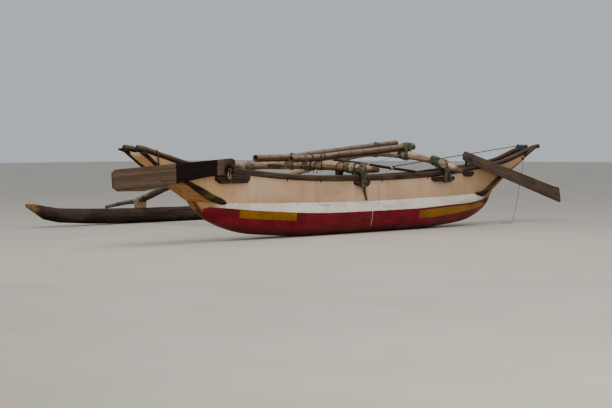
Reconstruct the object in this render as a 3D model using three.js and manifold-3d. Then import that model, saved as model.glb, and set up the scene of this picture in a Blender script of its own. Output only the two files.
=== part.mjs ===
// Double-ended outrigger canoe, beached on its keel and its float.
// Millimetres. +X runs along the hull, +Y from the hull to the float, +Z up.
// The origin is on the flat of the keel at amidships, at ground height.
import * as THREE from "three";
import Module from "manifold-3d";

const wasm = await Module();
wasm.setup();

// Dimensions.
const GAP = 0.3;              // clearance between touching pieces
const HULL_END = 5150;        // half of the overall length
const LOG_END_LEFT = -3940;   // ends of the dugout log
const LOG_END_RIGHT = 3720;
const HOLLOW_END = 3250;      // half length of the log's hollow
const LENGTH_JOINT = 1500;    // where the hollow part is divided in three lengths
const WALL = 42;              // wall of the dugout at its sides
const FLOOR_T = 62;           // thickness of the dugout's bottom
const BOTTOM_H = 88;          // height of the log's bottom slab over the keel line
const STRAKE_T = 26;          // washstrake plank
const STRAKE_END_LEFT = -4940;
const STRAKE_END_RIGHT = 4900;
const RAIL_W = 74;            // squared rail amidships
const RAIL_H = 92;
const RAIL_JOINT_LEFT = -3300; // where the squared rail meets the end rails
const RAIL_JOINT_RIGHT = 2450;
const END_RAIL_R = 42;
const RAIL_TIPS = { left: { near: -5050, far: -5100 }, right: { near: 5120, far: 5050 } };
const STRIP_T = 36;           // dark strip along each raked edge
const BOARD_T = 30;
const THWART = { w: 170, t: 34, drop: 96 };
const FLOAT_Y = 5200;         // outreach of the float
const BOOM_LEFT_X = -285;     // where each boom crosses the near rail
const BOOM_RIGHT_X = 1955;
const PADDLE_T = 44;
const PADDLE_Y = -270;        // inner face of both steering paddles
const PIN_R = 18;             // rope grommet that each paddle swings on
const PIVOT_LEFT = { x: -3408, z: 1068 };
const PIVOT_RIGHT = { x: 2687, z: 1179 };
const LINE_R = 4;             // hanging line and stay line

// Every table is [station, value], the station measured from amidships. Pieces that touch bend
// only at the stations of this list.
const STATIONS = [0, 550, 1100, 1500, 1700, 2250, 2650, 2800, 3110, 3200, 3300, 3450, 3600, 3690, 3820,
  3940, 4080, 4200, 4440, 4600, 4760, 4940, 5150];
const KEEL_Z = [[0, 0], [1500, 0], [1700, 9], [2250, 45], [2650, 78], [3110, 165], [3450, 276],
  [3690, 392], [3820, 500], [3940, 604]];
const KEEL_W = [[0, 80], [2650, 66], [3200, 48], [3940, 34]];
const RED_Z = [[0, 350], [1100, 354], [1700, 372], [2250, 405], [2650, 438], [3200, 495],
  [3690, 546], [3940, 604]];
const RED_W = [[0, 340], [1100, 333], [1700, 316], [2250, 289], [2800, 247], [3200, 200],
  [3450, 156], [3690, 100], [3820, 66], [3940, 38]];
const TOP_Z = [[0, 520], [1500, 537], [2650, 561], [3110, 575], [3450, 590], [3940, 613]];
const TOP_W = [[0, 240], [1700, 237], [2800, 215], [3200, 188], [3450, 160], [3690, 98],
  [3940, 38]];
// the right horn is shorter: station along the hull, station in the log's tables
const RIGHT_HORN = [[0, 0], [2800, 2800], [3200, 3290], [3720, 3940]];
const SHEER_Z = [[0, 948], [550, 950], [1100, 960], [1700, 982], [2250, 1018], [2800, 1068], [3200, 1102],
  [3600, 1142], [4080, 1216], [4440, 1308], [4760, 1394], [4940, 1441], [5150, 1466]];
const STRAKE_TOP_W = [[0, 228], [1500, 225], [2650, 210], [3200, 194], [3600, 180], [4080, 161],
  [4440, 147], [5150, 121]];
const STRAKE_LOW_W = [[0, 240], [1700, 237], [2800, 215], [3200, 188], [3450, 165], [3690, 160],
  [4080, 156], [4440, 147], [5150, 121]];
// what differs between the two ends: the washstrakes' raked edges, the carved stem heads that
// fill the ends below them (lower line, half width at it), and the strips, each [station, low, top]
const ENDS = {
  left: {
    e: -1,
    rake: [[3450, 590.3], [3690, 658], [3820, 722], [3940, 788], [4080, 866], [4200, 925], [4440, 1035],
      [4600, 1105], [4760, 1182], [4940, 1290], [5150, 1400]],
    stemLow: [[3940, 613], [4080, 688], [4200, 756], [4440, 890], [4600, 985]],
    stemWide: [[3600, 118], [3690, 92], [3940, 38], [4200, 44], [4440, 72], [4600, 94]],
    stem: [3600, 4600],
    board: [3600, 4990],
    strip: [[3345, 562, 588], [3390, 552, 630], [3540, 580, 692], [3700, 634, 764], [3900, 742, 850],
      [4100, 856, 926], [4200, 902, 968], [4500, 1035, 1105], [4740, 1142, 1212], [4860, 1222, 1294],
      [4984, 1302, 1376], [5060, 1352, 1404], [5152, 1372, 1410]],
  },
  right: {
    e: 1,
    rake: [[3300, 584.5], [3450, 640], [3600, 716], [3690, 765], [3820, 842], [3940, 905], [4080, 972],
      [4200, 1022], [4440, 1118], [4600, 1178], [4760, 1250], [4940, 1330]],
    stemLow: [[3720, 613], [3820, 655], [3940, 735], [4080, 830], [4200, 900], [4440, 1036],
      [4600, 1125]],
    stemWide: [[3450, 116], [3600, 73], [3720, 38], [3940, 42], [4200, 52], [4440, 76], [4600, 94]],
    stem: [3450, 4600],
    board: [3450, 4850],
    strip: [[2950, 570, 586], [3060, 535, 600], [3180, 510, 614], [3300, 545, 654], [3450, 624, 734],
      [3650, 752, 834], [3820, 838, 922], [4000, 925, 1000], [4200, 1010, 1078], [4440, 1108, 1172],
      [4600, 1188, 1252], [4760, 1272, 1338], [4900, 1342, 1404], [5060, 1412, 1440]],
  },
};
// the near strip at the right end is broken: a lower length and a short length at the tip
const BROKEN_STRIP = { low: [2950, 4000], tip: [4520, 5060] };
const STRIP_OUT = [[4600, 0], [4760, 10], [4900, 22], [5060, 26]];   // room for the rail inside the strip

// Helpers.
function at(table, s) {
  const a = Math.abs(s);
  if (a <= table[0][0]) return table[0][1];
  for (let i = 1; i < table.length; i++) {
    if (a <= table[i][0]) {
      const [s0, v0] = table[i - 1];
      const [s1, v1] = table[i];
      return v0 + (v1 - v0) * (a - s0) / (s1 - s0);
    }
  }
  return table[table.length - 1][1];
}

// A closed body through a row of rings, each a list of [x, y, z] in one plane.
function loft(rings) {
  const n = rings[0].length;
  const pos = rings.flat(2);
  const tri = [];
  for (let r = 0; r + 1 < rings.length; r++) {
    for (let i = 0; i < n; i++) {
      const j = (i + 1) % n;
      const a = r * n + i, b = r * n + j, c = (r + 1) * n + j, d = (r + 1) * n + i;
      tri.push(a, b, c, a, c, d);
    }
  }
  for (const r of [0, rings.length - 1]) {
    const ring = rings[r].map((p) => new THREE.Vector3(...p));
    const normal = new THREE.Vector3();
    for (let i = 0; i < n; i++) normal.add(new THREE.Vector3().crossVectors(ring[i], ring[(i + 1) % n]));
    normal.normalize();
    const u = new THREE.Vector3(Math.abs(normal.x) < 0.6 ? 1 : 0, Math.abs(normal.x) < 0.6 ? 0 : 1, 0)
      .cross(normal).normalize();
    const v = new THREE.Vector3().crossVectors(normal, u);
    const flat = ring.map((p) => new THREE.Vector2(p.dot(u), p.dot(v)));
    for (const [a, b, c] of THREE.ShapeUtils.triangulateShape(flat, [])) {
      if (r === 0) tri.push(r * n + c, r * n + b, r * n + a);
      else tri.push(r * n + a, r * n + b, r * n + c);
    }
  }
  let volume = 0;
  for (let t = 0; t < tri.length; t += 3) {
    const [a, b, c] = [tri[t], tri[t + 1], tri[t + 2]].map((k) => new THREE.Vector3().fromArray(pos, k * 3));
    volume += a.dot(b.cross(c));
  }
  if (volume < 0) for (let t = 0; t < tri.length; t += 3) [tri[t], tri[t + 1]] = [tri[t + 1], tri[t]];
  const geometry = new THREE.BufferGeometry();
  geometry.setAttribute("position", new THREE.Float32BufferAttribute(pos, 3));
  geometry.setIndex(tri);
  return geometry;
}

function solid(geometry) {
  return new wasm.Manifold(new wasm.Mesh({
    numProp: 3,
    vertProperties: new Float32Array(geometry.attributes.position.array),
    triVerts: new Uint32Array(geometry.index.array),
  }));
}

function geometryOf(manifold) {
  const mesh = manifold.getMesh();
  const geometry = new THREE.BufferGeometry();
  geometry.setAttribute("position", new THREE.Float32BufferAttribute(Array.from(mesh.vertProperties), 3));
  geometry.setIndex(Array.from(mesh.triVerts));
  return geometry;
}

// A box between two corners, as a loft along X.
function block(lo, hi) {
  return loft([lo[0], hi[0]].map((x) => [[x, lo[1], lo[2]], [x, hi[1], lo[2]], [x, hi[1], hi[2]],
    [x, lo[1], hi[2]]]));
}

// A round pole whose rings stand in planes across one axis ("x", "y" or "z").
// Points are [x, y, z, radius]; a corner of the ring is straight up.
function pole(points, axis, sides = 10) {
  return loft(points.map(([x, y, z, r]) => {
    const ring = [];
    for (let k = 0; k < sides; k++) {
      const a = Math.PI / 2 + 2 * Math.PI * k / sides;
      const c = r * Math.cos(a), s = r * Math.sin(a);
      if (axis === "x") ring.push([x, y + c, z + s]);
      else if (axis === "y") ring.push([x + c, y, z + s]);
      else ring.push([x + c, y + s, z]);
    }
    return ring;
  }));
}

// The stations of a table between two limits, on one side (sign) of amidships.
function stations(from, to) {
  const set = new Set([from, to]);
  for (const s of STATIONS) for (const x of [-s, s]) if (x > from + 5 && x < to - 5) set.add(x);
  return [...set].sort((a, b) => a - b);
}

const materials = {
  red_paint: new THREE.MeshStandardMaterial({ color: 0x6a0f1c, roughness: 0.5, metalness: 0 }),
  washstrake: new THREE.MeshStandardMaterial({ color: 0xc4a47a, roughness: 0.75, metalness: 0 }),
  stem_wood: new THREE.MeshStandardMaterial({ color: 0xb07a38, roughness: 0.75, metalness: 0 }),
  dark_wood: new THREE.MeshStandardMaterial({ color: 0x4a3b35, roughness: 0.85, metalness: 0 }),
  thwart_wood: new THREE.MeshStandardMaterial({ color: 0x8a6f52, roughness: 0.85, metalness: 0 }),
  boom_wood: new THREE.MeshStandardMaterial({ color: 0xb39a80, roughness: 0.8, metalness: 0 }),
  bamboo: new THREE.MeshStandardMaterial({ color: 0x7a6656, roughness: 0.7, metalness: 0 }),
  float_wood: new THREE.MeshStandardMaterial({ color: 0x33282a, roughness: 0.9, metalness: 0 }),
  paddle_wood: new THREE.MeshStandardMaterial({ color: 0x5c4a40, roughness: 0.85, metalness: 0 }),
  rope: new THREE.MeshStandardMaterial({ color: 0x8d8560, roughness: 0.95, metalness: 0 }),
  cord: new THREE.MeshStandardMaterial({ color: 0x3f3a36, roughness: 0.95, metalness: 0 }),
};

const canoe = new THREE.Group();
function add(name, shape, material, parent = canoe) {
  const mesh = new THREE.Mesh(shape.getMesh ? geometryOf(shape) : shape, materials[material]);
  mesh.name = name;
  parent.add(mesh);
  return mesh;
}

// Dugout log.
const logAt = (table, x) => at(table, x > 0 ? at(RIGHT_HORN, x) : x);
// a ring from the points of its right half, each [half width, height], mirrored to the left half
function mirrored(x, half, grow = 0) {
  return [...half.map(([y, z]) => [x, y + grow, z]), ...half.slice().reverse().map(([y, z]) =>
    [x, -y - grow, z])];
}

function outerRing(x, grow = 0) {
  const kz = logAt(KEEL_Z, x), kw = logAt(KEEL_W, x), rz = logAt(RED_Z, x), rw = logAt(RED_W, x);
  const tz = logAt(TOP_Z, x) + grow, tw = logAt(TOP_W, x), d = rw - kw, h = rz - kz;
  return mirrored(x, [[kw, kz], [kw + 0.52 * d, kz + 0.1 * h], [kw + 0.82 * d, kz + 0.33 * h],
    [kw + 0.97 * d, kz + 0.7 * h], [rw, rz], [rw - 0.36 * (rw - tw), rz + 0.45 * (tz - rz)], [tw, tz]],
  grow);
}

function innerRing(x) {
  const kz = logAt(KEEL_Z, x), kw = logAt(KEEL_W, x), rz = logAt(RED_Z, x);
  const rw = logAt(RED_W, x) - WALL, tz = logAt(TOP_Z, x), tw = logAt(TOP_W, x) - WALL, h = rz - kz;
  return mirrored(x, [[kw * 0.8, kz + FLOOR_T], [rw * 0.72, kz + FLOOR_T + 0.16 * h],
    [rw * 0.96, kz + FLOOR_T + 0.42 * h], [rw, rz - 10], [tw, tz], [tw, tz + 60]]);
}

const HIGH = 1000;            // beyond the log on every side
const WIDE = 700;
const slab = (from, to, low, high) => solid(loft(stations(from, to).map((x) => [[x, -WIDE, low(x)],
  [x, WIDE, low(x)], [x, WIDE, high(x)], [x, -WIDE, high(x)]])));
const outerLog = solid(loft(stations(LOG_END_LEFT, LOG_END_RIGHT).map((x) => outerRing(x))));
const logCutter = solid(loft(stations(LOG_END_LEFT, LOG_END_RIGHT).map((x) => outerRing(x, GAP))));
const shell = outerLog.subtract(solid(loft(stations(-HOLLOW_END, HOLLOW_END).map(innerRing))));
const bottomCut = (x) => logAt(KEEL_Z, x) + BOTTOM_H;
// the hollow part in three lengths, each with a bottom and two sides
const LENGTHS = { left: [-HOLLOW_END + GAP, -LENGTH_JOINT - GAP], middle: [-LENGTH_JOINT, LENGTH_JOINT],
  right: [LENGTH_JOINT + GAP, HOLLOW_END - GAP] };
for (const [name, [from, to]] of Object.entries(LENGTHS)) {
  const upper = shell.intersect(slab(from, to, (x) => bottomCut(x) + GAP, () => HIGH));
  add("log_bottom_" + name, shell.intersect(slab(from, to, () => -HIGH, bottomCut)), "red_paint");
  add(`log_side_${name}_near`, upper.intersect(solid(block([from, -WIDE, -HIGH], [to, 0, HIGH]))), "red_paint");
  add(`log_side_${name}_far`, upper.intersect(solid(block([from, 0, -HIGH], [to, WIDE, HIGH]))), "red_paint");
}
add("log_horn_left", outerLog.intersect(solid(block([-HULL_END, -WIDE, -HIGH], [-HOLLOW_END, WIDE, HIGH]))),
  "red_paint");
add("log_horn_right", outerLog.intersect(solid(block([HOLLOW_END, -WIDE, -HIGH], [HULL_END, WIDE, HIGH]))),
  "red_paint");

// Washstrakes.
const endOf = (x) => (x < 0 ? ENDS.left : ENDS.right);
const rakeZ = (x) => at(endOf(x).rake, x);
const strakeLow = (x) => (Math.abs(x) <= endOf(x).rake[0][0] ? logAt(TOP_Z, x) + GAP : rakeZ(x));
const railLow = (x) => at(SHEER_Z, x) - RAIL_H;
// corners: outer low, outer top, inner top, inner low; grow pushes the faces out, and solidIn
// carries the inner corners to the centre plane
function strakeRing(x, side, grow = 0, solidIn = false) {
  const zl = strakeLow(x) - grow, zt = railLow(x) - GAP + grow;
  const yl = at(STRAKE_LOW_W, x), yt = at(STRAKE_TOP_W, x);
  const inner = (y) => side * (solidIn ? 0 : y - STRAKE_T - grow);
  return [[x, side * (yl + grow), zl], [x, side * (yt + grow), zt], [x, inner(yt), zt],
    [x, inner(yl), zl]];
}
const strakeLoft = (...how) => loft(stations(STRAKE_END_LEFT, STRAKE_END_RIGHT).map((x) =>
  strakeRing(x, ...how)));
const SIDES = { near: -1, far: 1 };
for (const [name, side] of Object.entries(SIDES)) add("washstrake_" + name, strakeLoft(side), "washstrake");
const hullBody = { near: solid(strakeLoft(-1, GAP, true)), far: solid(strakeLoft(1, GAP, true)) };
const strakeSkins = [solid(strakeLoft(-1, GAP)), solid(strakeLoft(1, GAP))];
const largest = (manifold) => manifold.decompose().sort((a, b) => b.volume() - a.volume())[0];

// Carved stem heads, and the boards between the washstrakes above them.
const along = (end, [from, to], ring) => loft(stations(...(end.e < 0 ? [-to, -from] : [from, to])).map(ring));
function stemHead(end, grow = 0) {
  const [from, to] = end.stem;
  return along(end, [from - grow, to + grow], (x) => {
    const onLog = Math.abs(x) <= end.stemLow[0][0];
    const zl = (onLog ? logAt(TOP_Z, x) + GAP : at(end.stemLow, x)) - grow, zt = rakeZ(x) - GAP + grow;
    const wl = at(end.stemWide, x), wt = at(STRAKE_LOW_W, x) - 4;
    return mirrored(x, [[wl, zl], [wl + 0.72 * (wt - wl), (zl + zt) / 2], [wt, zt]], 2 * grow);
  });
}
for (const [name, end] of Object.entries(ENDS)) {
  add("stem_head_" + name, stemHead(end), "stem_wood");
  add("end_board_" + name, along(end, end.board, (x) => {
    const w = Math.min(at(STRAKE_LOW_W, x), at(STRAKE_TOP_W, x)) - STRAKE_T - 2 * GAP, z = rakeZ(x) + GAP;
    return mirrored(x, [[w, z], [w, z + BOARD_T]]);
  }), "washstrake");
}

// Rails.
const railY = (x) => at(STRAKE_TOP_W, x) - STRAKE_T / 2;
const knotty = (x) => END_RAIL_R + 2 * Math.sin(x / 170);   // an end rail is an uneven pole
function endRail(endName, sideName, grow = 0) {
  const tip = RAIL_TIPS[endName][sideName], side = SIDES[sideName];
  const [from, to] = tip < 0 ? [tip - grow, RAIL_JOINT_LEFT - GAP + grow]
    : [RAIL_JOINT_RIGHT + GAP - grow, tip + grow];
  return pole(stations(from, to).map((x) => [x, side * railY(x), railLow(x) + knotty(x), knotty(x) + grow]),
    "x", 8);
}
for (const [name, side] of Object.entries(SIDES)) {
  add("rail_middle_" + name, loft(stations(RAIL_JOINT_LEFT, RAIL_JOINT_RIGHT).map((x) => {
    const y = side * railY(x), w = RAIL_W / 2, z = at(SHEER_Z, x);
    return [[x, y - w, z - RAIL_H], [x, y + w, z - RAIL_H], [x, y + w, z], [x, y - w, z]];
  })), "dark_wood");
  add("rail_left_" + name, endRail("left", name), "dark_wood");
  add("rail_right_" + name, endRail("right", name), "dark_wood");
}

// Dark strips along the raked edges.
function edgeStrip(endName, sideName, from, to) {
  const end = ENDS[endName], side = SIDES[sideName];
  const low = end.strip.map(([s, a]) => [s, a]), top = end.strip.map(([s, , b]) => [s, b]);
  const marks = [from, ...end.strip.map((row) => row[0]).filter((s) => s > from && s < to), to];
  const rings = marks.map((s) => {
    const y = at(STRAKE_LOW_W, s), out = at(STRIP_OUT, s);
    const inner = side * (Math.min(y, at(STRAKE_TOP_W, s)) - 6 + out), outer = side * (y + STRIP_T + out);
    const zl = at(low, s), zt = at(top, s), bevel = 0.22 * (zt - zl);
    return [[end.e * s, inner, zl], [end.e * s, outer, zl + bevel], [end.e * s, outer, zt - bevel],
      [end.e * s, inner, zt]];
  });
  const rail = solid(endRail(endName, sideName, GAP));
  return largest(solid(loft(end.e < 0 ? rings.reverse() : rings)).subtract(hullBody[sideName])
    .subtract(rail).subtract(logCutter).subtract(solid(stemHead(end, 1))));
}
const stripSpan = (end) => [end.strip[0][0], end.strip[end.strip.length - 1][0]];
add("edge_strip_left_near", edgeStrip("left", "near", ENDS.left.strip[0][0], 5060), "dark_wood");
add("edge_strip_left_far", edgeStrip("left", "far", ...stripSpan(ENDS.left)), "dark_wood");
add("edge_strip_right_near", edgeStrip("right", "near", ...BROKEN_STRIP.low), "dark_wood");
add("edge_strip_right_tip", edgeStrip("right", "near", ...BROKEN_STRIP.tip), "dark_wood");
add("edge_strip_right_far", edgeStrip("right", "far", ...stripSpan(ENDS.right)), "dark_wood");

// Thwarts between the washstrakes.
for (const [k, x] of [-3020, -1500, 760, 2960].entries()) {
  const z = railLow(x) - THWART.drop, w = THWART.w / 2;
  const plank = solid(block([x - w, -at(STRAKE_LOW_W, x), z], [x + w, at(STRAKE_LOW_W, x), z + THWART.t]));
  add("thwart_" + (k + 1), largest(plank.subtract(strakeSkins[0]).subtract(strakeSkins[1])), "thwart_wood");
}

// Cleats under lashings.
// y is the outer face, the rest is the span along X and the height
const CLEATS = [
  { name: "cleat_paddle_left", side: "near", x: [-3570, -2890], y: 262, z: [872, 1000] },
  { name: "cleat_boom_left_near", side: "near", x: [-440, -100], y: 300, z: [772, 857] },
  { name: "cleat_boom_right_near", side: "near", x: [1640, 2230], y: 300, z: [806, 888] },
  { name: "cleat_paddle_right", side: "near", x: [2570, 2860], y: 262, z: [878, 968] },
  { name: "cleat_boom_left_far", side: "far", x: [-440, -100], y: 300, z: [772, 857] },
  { name: "cleat_boom_right_far", side: "far", x: [1700, 2230], y: 300, z: [806, 888] },
];
for (const { name, side, x: [x0, x1], y, z: [z0, z1] } of CLEATS) {
  const inner = SIDES[side] * y / 2, outer = SIDES[side] * y;
  const ring = (x, low) => [[x, inner, low], [x, outer, low], [x, outer, z1], [x, inner, z1]];
  const taper = 0.4 * (z1 - z0);
  const wood = solid(loft([ring(x0, z0 + taper), ring(x0 + 90, z0), ring(x1 - 60, z0), ring(x1, z0 + taper)]));
  const underRail = slab(x0 - RAIL_W, x1 + RAIL_W, () => 0, (x) => railLow(x) - GAP);
  add(name, wood.intersect(underRail).subtract(hullBody[side]), "dark_wood");
}

// Booms.
// Each row is a station along Y: y, height z and radius r. Both booms skew a little in plan.
const BOOM_LEFT = { x: (y) => BOOM_LEFT_X + 0.022 * (y + 250), rows: [
  { y: -620, z: 1038, r: 44 }, { y: -420, z: 1045, r: 60 }, { y: -235, z: 1053, r: 70 },
  { y: 0, z: 1074, r: 74 }, { y: 235, z: 1089, r: 75 }, { y: 620, z: 1103, r: 76 },
  { y: 1300, z: 1105, r: 75 }, { y: 2000, z: 1093, r: 72 }, { y: 2700, z: 1060, r: 66 },
  { y: 3300, z: 1000, r: 58 },
] };
const BOOM_RIGHT = { x: (y) => BOOM_RIGHT_X + 0.026 * (y + 250), rows: [
  { y: -660, z: 975, r: 38 }, { y: -420, z: 1062, r: 58 }, { y: -229, z: 1122, r: 64 },
  { y: 0, z: 1180, r: 68 }, { y: 229, z: 1218, r: 70 }, { y: 620, z: 1262, r: 72 },
  { y: 950, z: 1290, r: 72 }, { y: 1300, z: 1298, r: 71 }, { y: 1700, z: 1268, r: 69 },
  { y: 2300, z: 1162, r: 66 }, { y: 3000, z: 990, r: 62 }, { y: 3600, z: 845, r: 58 },
  { y: 4300, z: 660, r: 54 }, { y: 4850, z: 492, r: 50 }, { y: FLOAT_Y, z: 404, r: 48 },
  { y: 5660, z: 345, r: 42 }, { y: 6100, z: 282, r: 34 },
] };
// the left boom's outer half is a pair of poles, lashed to both sides of the inner pole
const OUTER_ROWS = [
  { y: 2150, z: 1086, r: 50 }, { y: 2700, z: 1046, r: 52 }, { y: 3300, z: 955, r: 54 },
  { y: 3900, z: 828, r: 53 }, { y: 4450, z: 682, r: 52 }, { y: 4810, z: 560, r: 50 },
  { y: FLOAT_Y, z: 424, r: 48 }, { y: 5450, z: 385, r: 44 }, { y: 5660, z: 358, r: 42 },
  { y: 6150, z: 272, r: 30 },
];
const FLAT = Math.cos(Math.PI / 10);   // a ten-sided pole's half width, over its radius
// a value of a boom's rows at any y
function boomAt(rows, key, y) {
  const k = Math.max(1, rows.findIndex((row) => row.y >= y)), a = rows[k - 1], b = rows[k];
  return a[key] + (b[key] - a[key]) * (y - a.y) / (b.y - a.y);
}
const boomPole = (boom, grow = 0) => pole(boom.rows.map(({ y, z, r }) => [boom.x(y), y, z, r + grow]), "y");
function outerPole(side, rows, grow = 0) {
  return pole(rows.map(({ y, z, r }) => {
    const innerR = y <= 3300 ? boomAt(BOOM_LEFT.rows, "r", y) : Math.max(3, 58 - 0.042 * (y - 3300));
    return [BOOM_LEFT.x(y) + side * ((innerR + r) * FLAT + GAP), y, z, r + grow];
  }), "y");
}
const OUTER_POLES = { a: [-1, OUTER_ROWS], b: [1, OUTER_ROWS.slice(0, 8)] };
add("boom_left_inner", boomPole(BOOM_LEFT), "boom_wood");
add("boom_right", boomPole(BOOM_RIGHT), "boom_wood");
for (const [name, how] of Object.entries(OUTER_POLES)) {
  add("boom_left_outer_" + name, outerPole(...how), "bamboo");
}

// Notched blocks that carry the booms on the rails; the right boom hangs clear of the far rail.
for (const [boomName, boom, sideName] of [["left", BOOM_LEFT, "near"], ["left", BOOM_LEFT, "far"],
  ["right", BOOM_RIGHT, "near"]]) {
  const side = SIDES[sideName], x = boom.x(side * RAIL_W), y = side * railY(x), w = RAIL_W / 2 - 2, half = 62;
  const top = boomAt(boom.rows, "z", y) - 0.45 * boomAt(boom.rows, "r", y);
  const rail = slab(x - 2 * half, x + 2 * half, () => 0, (u) => at(SHEER_Z, u) + GAP);
  const chock = solid(block([x - half, y - w, railLow(x)], [x + half, y + w, top]));
  add(`saddle_${boomName}_${sideName}`, largest(chock.subtract(rail).subtract(solid(boomPole(boom, GAP)))),
    "dark_wood");
}

// Float, and the blocks that carry the booms on it.
// each row is a station along X: half width w, lowest and highest point
const FLOAT = [
  { x: -2840, w: 26, low: 372, top: 432 }, { x: -2700, w: 52, low: 290, top: 428 },
  { x: -2430, w: 98, low: 140, top: 372 }, { x: -2100, w: 122, low: 76, top: 330 },
  { x: -1600, w: 134, low: 40, top: 308 }, { x: -1000, w: 140, low: 16, top: 292 },
  { x: -300, w: 142, low: 0, top: 276 }, { x: 900, w: 144, low: 0, top: 272 },
  { x: 2100, w: 142, low: 0, top: 276 }, { x: 2900, w: 138, low: 18, top: 290 },
  { x: 3500, w: 130, low: 44, top: 310 }, { x: 4000, w: 118, low: 84, top: 334 },
  { x: 4330, w: 94, low: 150, top: 376 }, { x: 4590, w: 50, low: 296, top: 430 },
  { x: 4720, w: 26, low: 374, top: 434 },
];
function floatRing({ x, w, low, top }, grow = 0) {
  const h = top - low, half = [[0.42 * w, low], [0.88 * w, low + 0.2 * h], [w, low + 0.52 * h],
    [0.86 * w, low + 0.84 * h], [0.4 * w, top + grow]];
  return mirrored(x, half, grow).map(([a, y, z]) => [a, FLOAT_Y + y, z]);
}
add("float_log", loft(FLOAT.map((row) => floatRing(row))), "float_wood");
const floatCutter = solid(loft(FLOAT.map((row) => floatRing(row, GAP))));
function floatBlock(x, halfX, rows, poles) {
  const top = boomAt(rows, "z", FLOAT_Y) - 8, halfY = 50;
  const wood = solid(block([x - halfX, FLOAT_Y - halfY, 200], [x + halfX, FLOAT_Y + halfY, top]));
  return largest(poles.reduce((rest, p) => rest.subtract(solid(p)), wood.subtract(floatCutter)));
}
add("float_block_left", floatBlock(BOOM_LEFT.x(FLOAT_Y), 95, OUTER_ROWS,
  Object.values(OUTER_POLES).map((how) => outerPole(...how, GAP))), "boom_wood");
add("float_block_right", floatBlock(BOOM_RIGHT.x(FLOAT_Y), 60, BOOM_RIGHT.rows,
  [boomPole(BOOM_RIGHT, GAP)]), "boom_wood");

// Masts laid across the booms, and a thin spar from the left boom down to the near rail.
// lift: how far the left end bends up from the straight line over the booms
const MASTS = [
  { name: "mast_near", y: 620, x: [-1010, 2220], r: [52, 58], lift: 26 },
  { name: "mast_far", y: 1300, x: [-1140, 2590], r: [57, 50], lift: 58 },
];
const boomTop = (boom, y) => boomAt(boom.rows, "z", y) + boomAt(boom.rows, "r", y);
for (const { name, y, x: [x0, x1], r: [r0, r1], lift } of MASTS) {
  const radius = (x) => r0 + (r1 - r0) * (x - x0) / (x1 - x0), xa = BOOM_LEFT.x(y), xb = BOOM_RIGHT.x(y);
  const za = boomTop(BOOM_LEFT, y) + radius(xa) + 2 * GAP, zb = boomTop(BOOM_RIGHT, y) + radius(xb) + 2 * GAP;
  const height = (x) => za + (zb - za) * (x - xa) / (xb - xa);
  const bend = (x) => lift * Math.max(0, (xa - 120 - x) / (xa - 120 - x0));
  add(name, pole([x0, xa - 120, xa + 0.35 * (xb - xa), xa + 0.7 * (xb - xa), x1].map((x) =>
    [x, y, height(x) + bend(x), radius(x)]), "x"), "bamboo");
}
const SPAR = { r: 23, thin: 16, x0: -460, y0: 130, x1: 1200, y1: -214 };
const sparPoint = (x) => {
  const xa = BOOM_LEFT.x(SPAR.y0), t = (x - xa) / (SPAR.x1 - xa);
  const za = boomTop(BOOM_LEFT, SPAR.y0) + SPAR.r + 2 * GAP, zb = at(SHEER_Z, SPAR.x1) + SPAR.r + 2 * GAP;
  return [x, SPAR.y0 + (SPAR.y1 - SPAR.y0) * t, za + (zb - za) * t, x < xa ? SPAR.thin : SPAR.r];
};
add("thin_spar", pole([SPAR.x0, BOOM_LEFT.x(SPAR.y0), 500, SPAR.x1].map(sparPoint), "x", 8), "dark_wood");

// Steering paddles.
// A flat board in the XZ plane from an outline of [x, z], with the grommet's hole.
function discRing({ x, z }, y, r, sides) {
  return Array.from({ length: sides }, (_, k) => {
    const a = 2 * Math.PI * k / sides;
    return [x + r * Math.cos(a), y, z + r * Math.sin(a)];
  });
}
const disc = (pivot, y0, y1, r, sides = 12) => solid(loft([y0, y1].map((y) => discRing(pivot, y, r, sides))));
function board(outline, pivot) {
  const faces = [PADDLE_Y, PADDLE_Y - PADDLE_T].map((y) => outline.map(([x, z]) => [x, y, z]));
  return solid(loft(faces)).subtract(disc(pivot, PADDLE_Y + PADDLE_T, PADDLE_Y - 2 * PADDLE_T, PIN_R + 1, 16));
}
add("paddle_left", board([[-3262, 1030], [-3660, 997], [-3920, 970], [-4482, 894], [-4640, 868],
  [-5106, 800], [-5578, 806], [-5669, 862], [-5680, 1065], [-5606, 1111], [-4943, 1147], [-4491, 1183],
  [-3679, 1225], [-3332, 1249], [-3278, 1221], [-3250, 1077]], PIVOT_LEFT), "paddle_wood");
add("paddle_right", board([[2492, 1184], [2580, 1143], [3516, 875], [4222, 680], [5574, 344],
  [5590, 372], [5538, 618], [5280, 667], [4361, 873], [3515, 1067], [3026, 1194], [2540, 1322],
  [2490, 1264]], PIVOT_RIGHT), "paddle_wood");

// Rope grommets that the paddles hang and swing on: a core through the board and a knot outside.
const KNOT = { r: 34, t: 28, clear: 6 };
const STROP = { y: -212, r: 24 };
const outside = PADDLE_Y - PADDLE_T - KNOT.clear;
const grommet = (pivot, from) => disc(pivot, from, outside - 1, PIN_R)
  .add(disc(pivot, outside, outside - KNOT.t, KNOT.r));
add("grommet_left", largest(grommet(PIVOT_LEFT, -100).subtract(hullBody.near)
  .subtract(solid(endRail("left", "near", GAP)))), "rope");
const strop = solid(pole([at(SHEER_Z, PIVOT_RIGHT.x) - RAIL_H, PIVOT_RIGHT.z + STROP.r].map((z) =>
  [PIVOT_RIGHT.x, STROP.y, z, STROP.r]), "z", 12));
add("grommet_right", largest(grommet(PIVOT_RIGHT, STROP.y).add(strop)
  .subtract(solid(endRail("right", "near", GAP)))), "rope");

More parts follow.
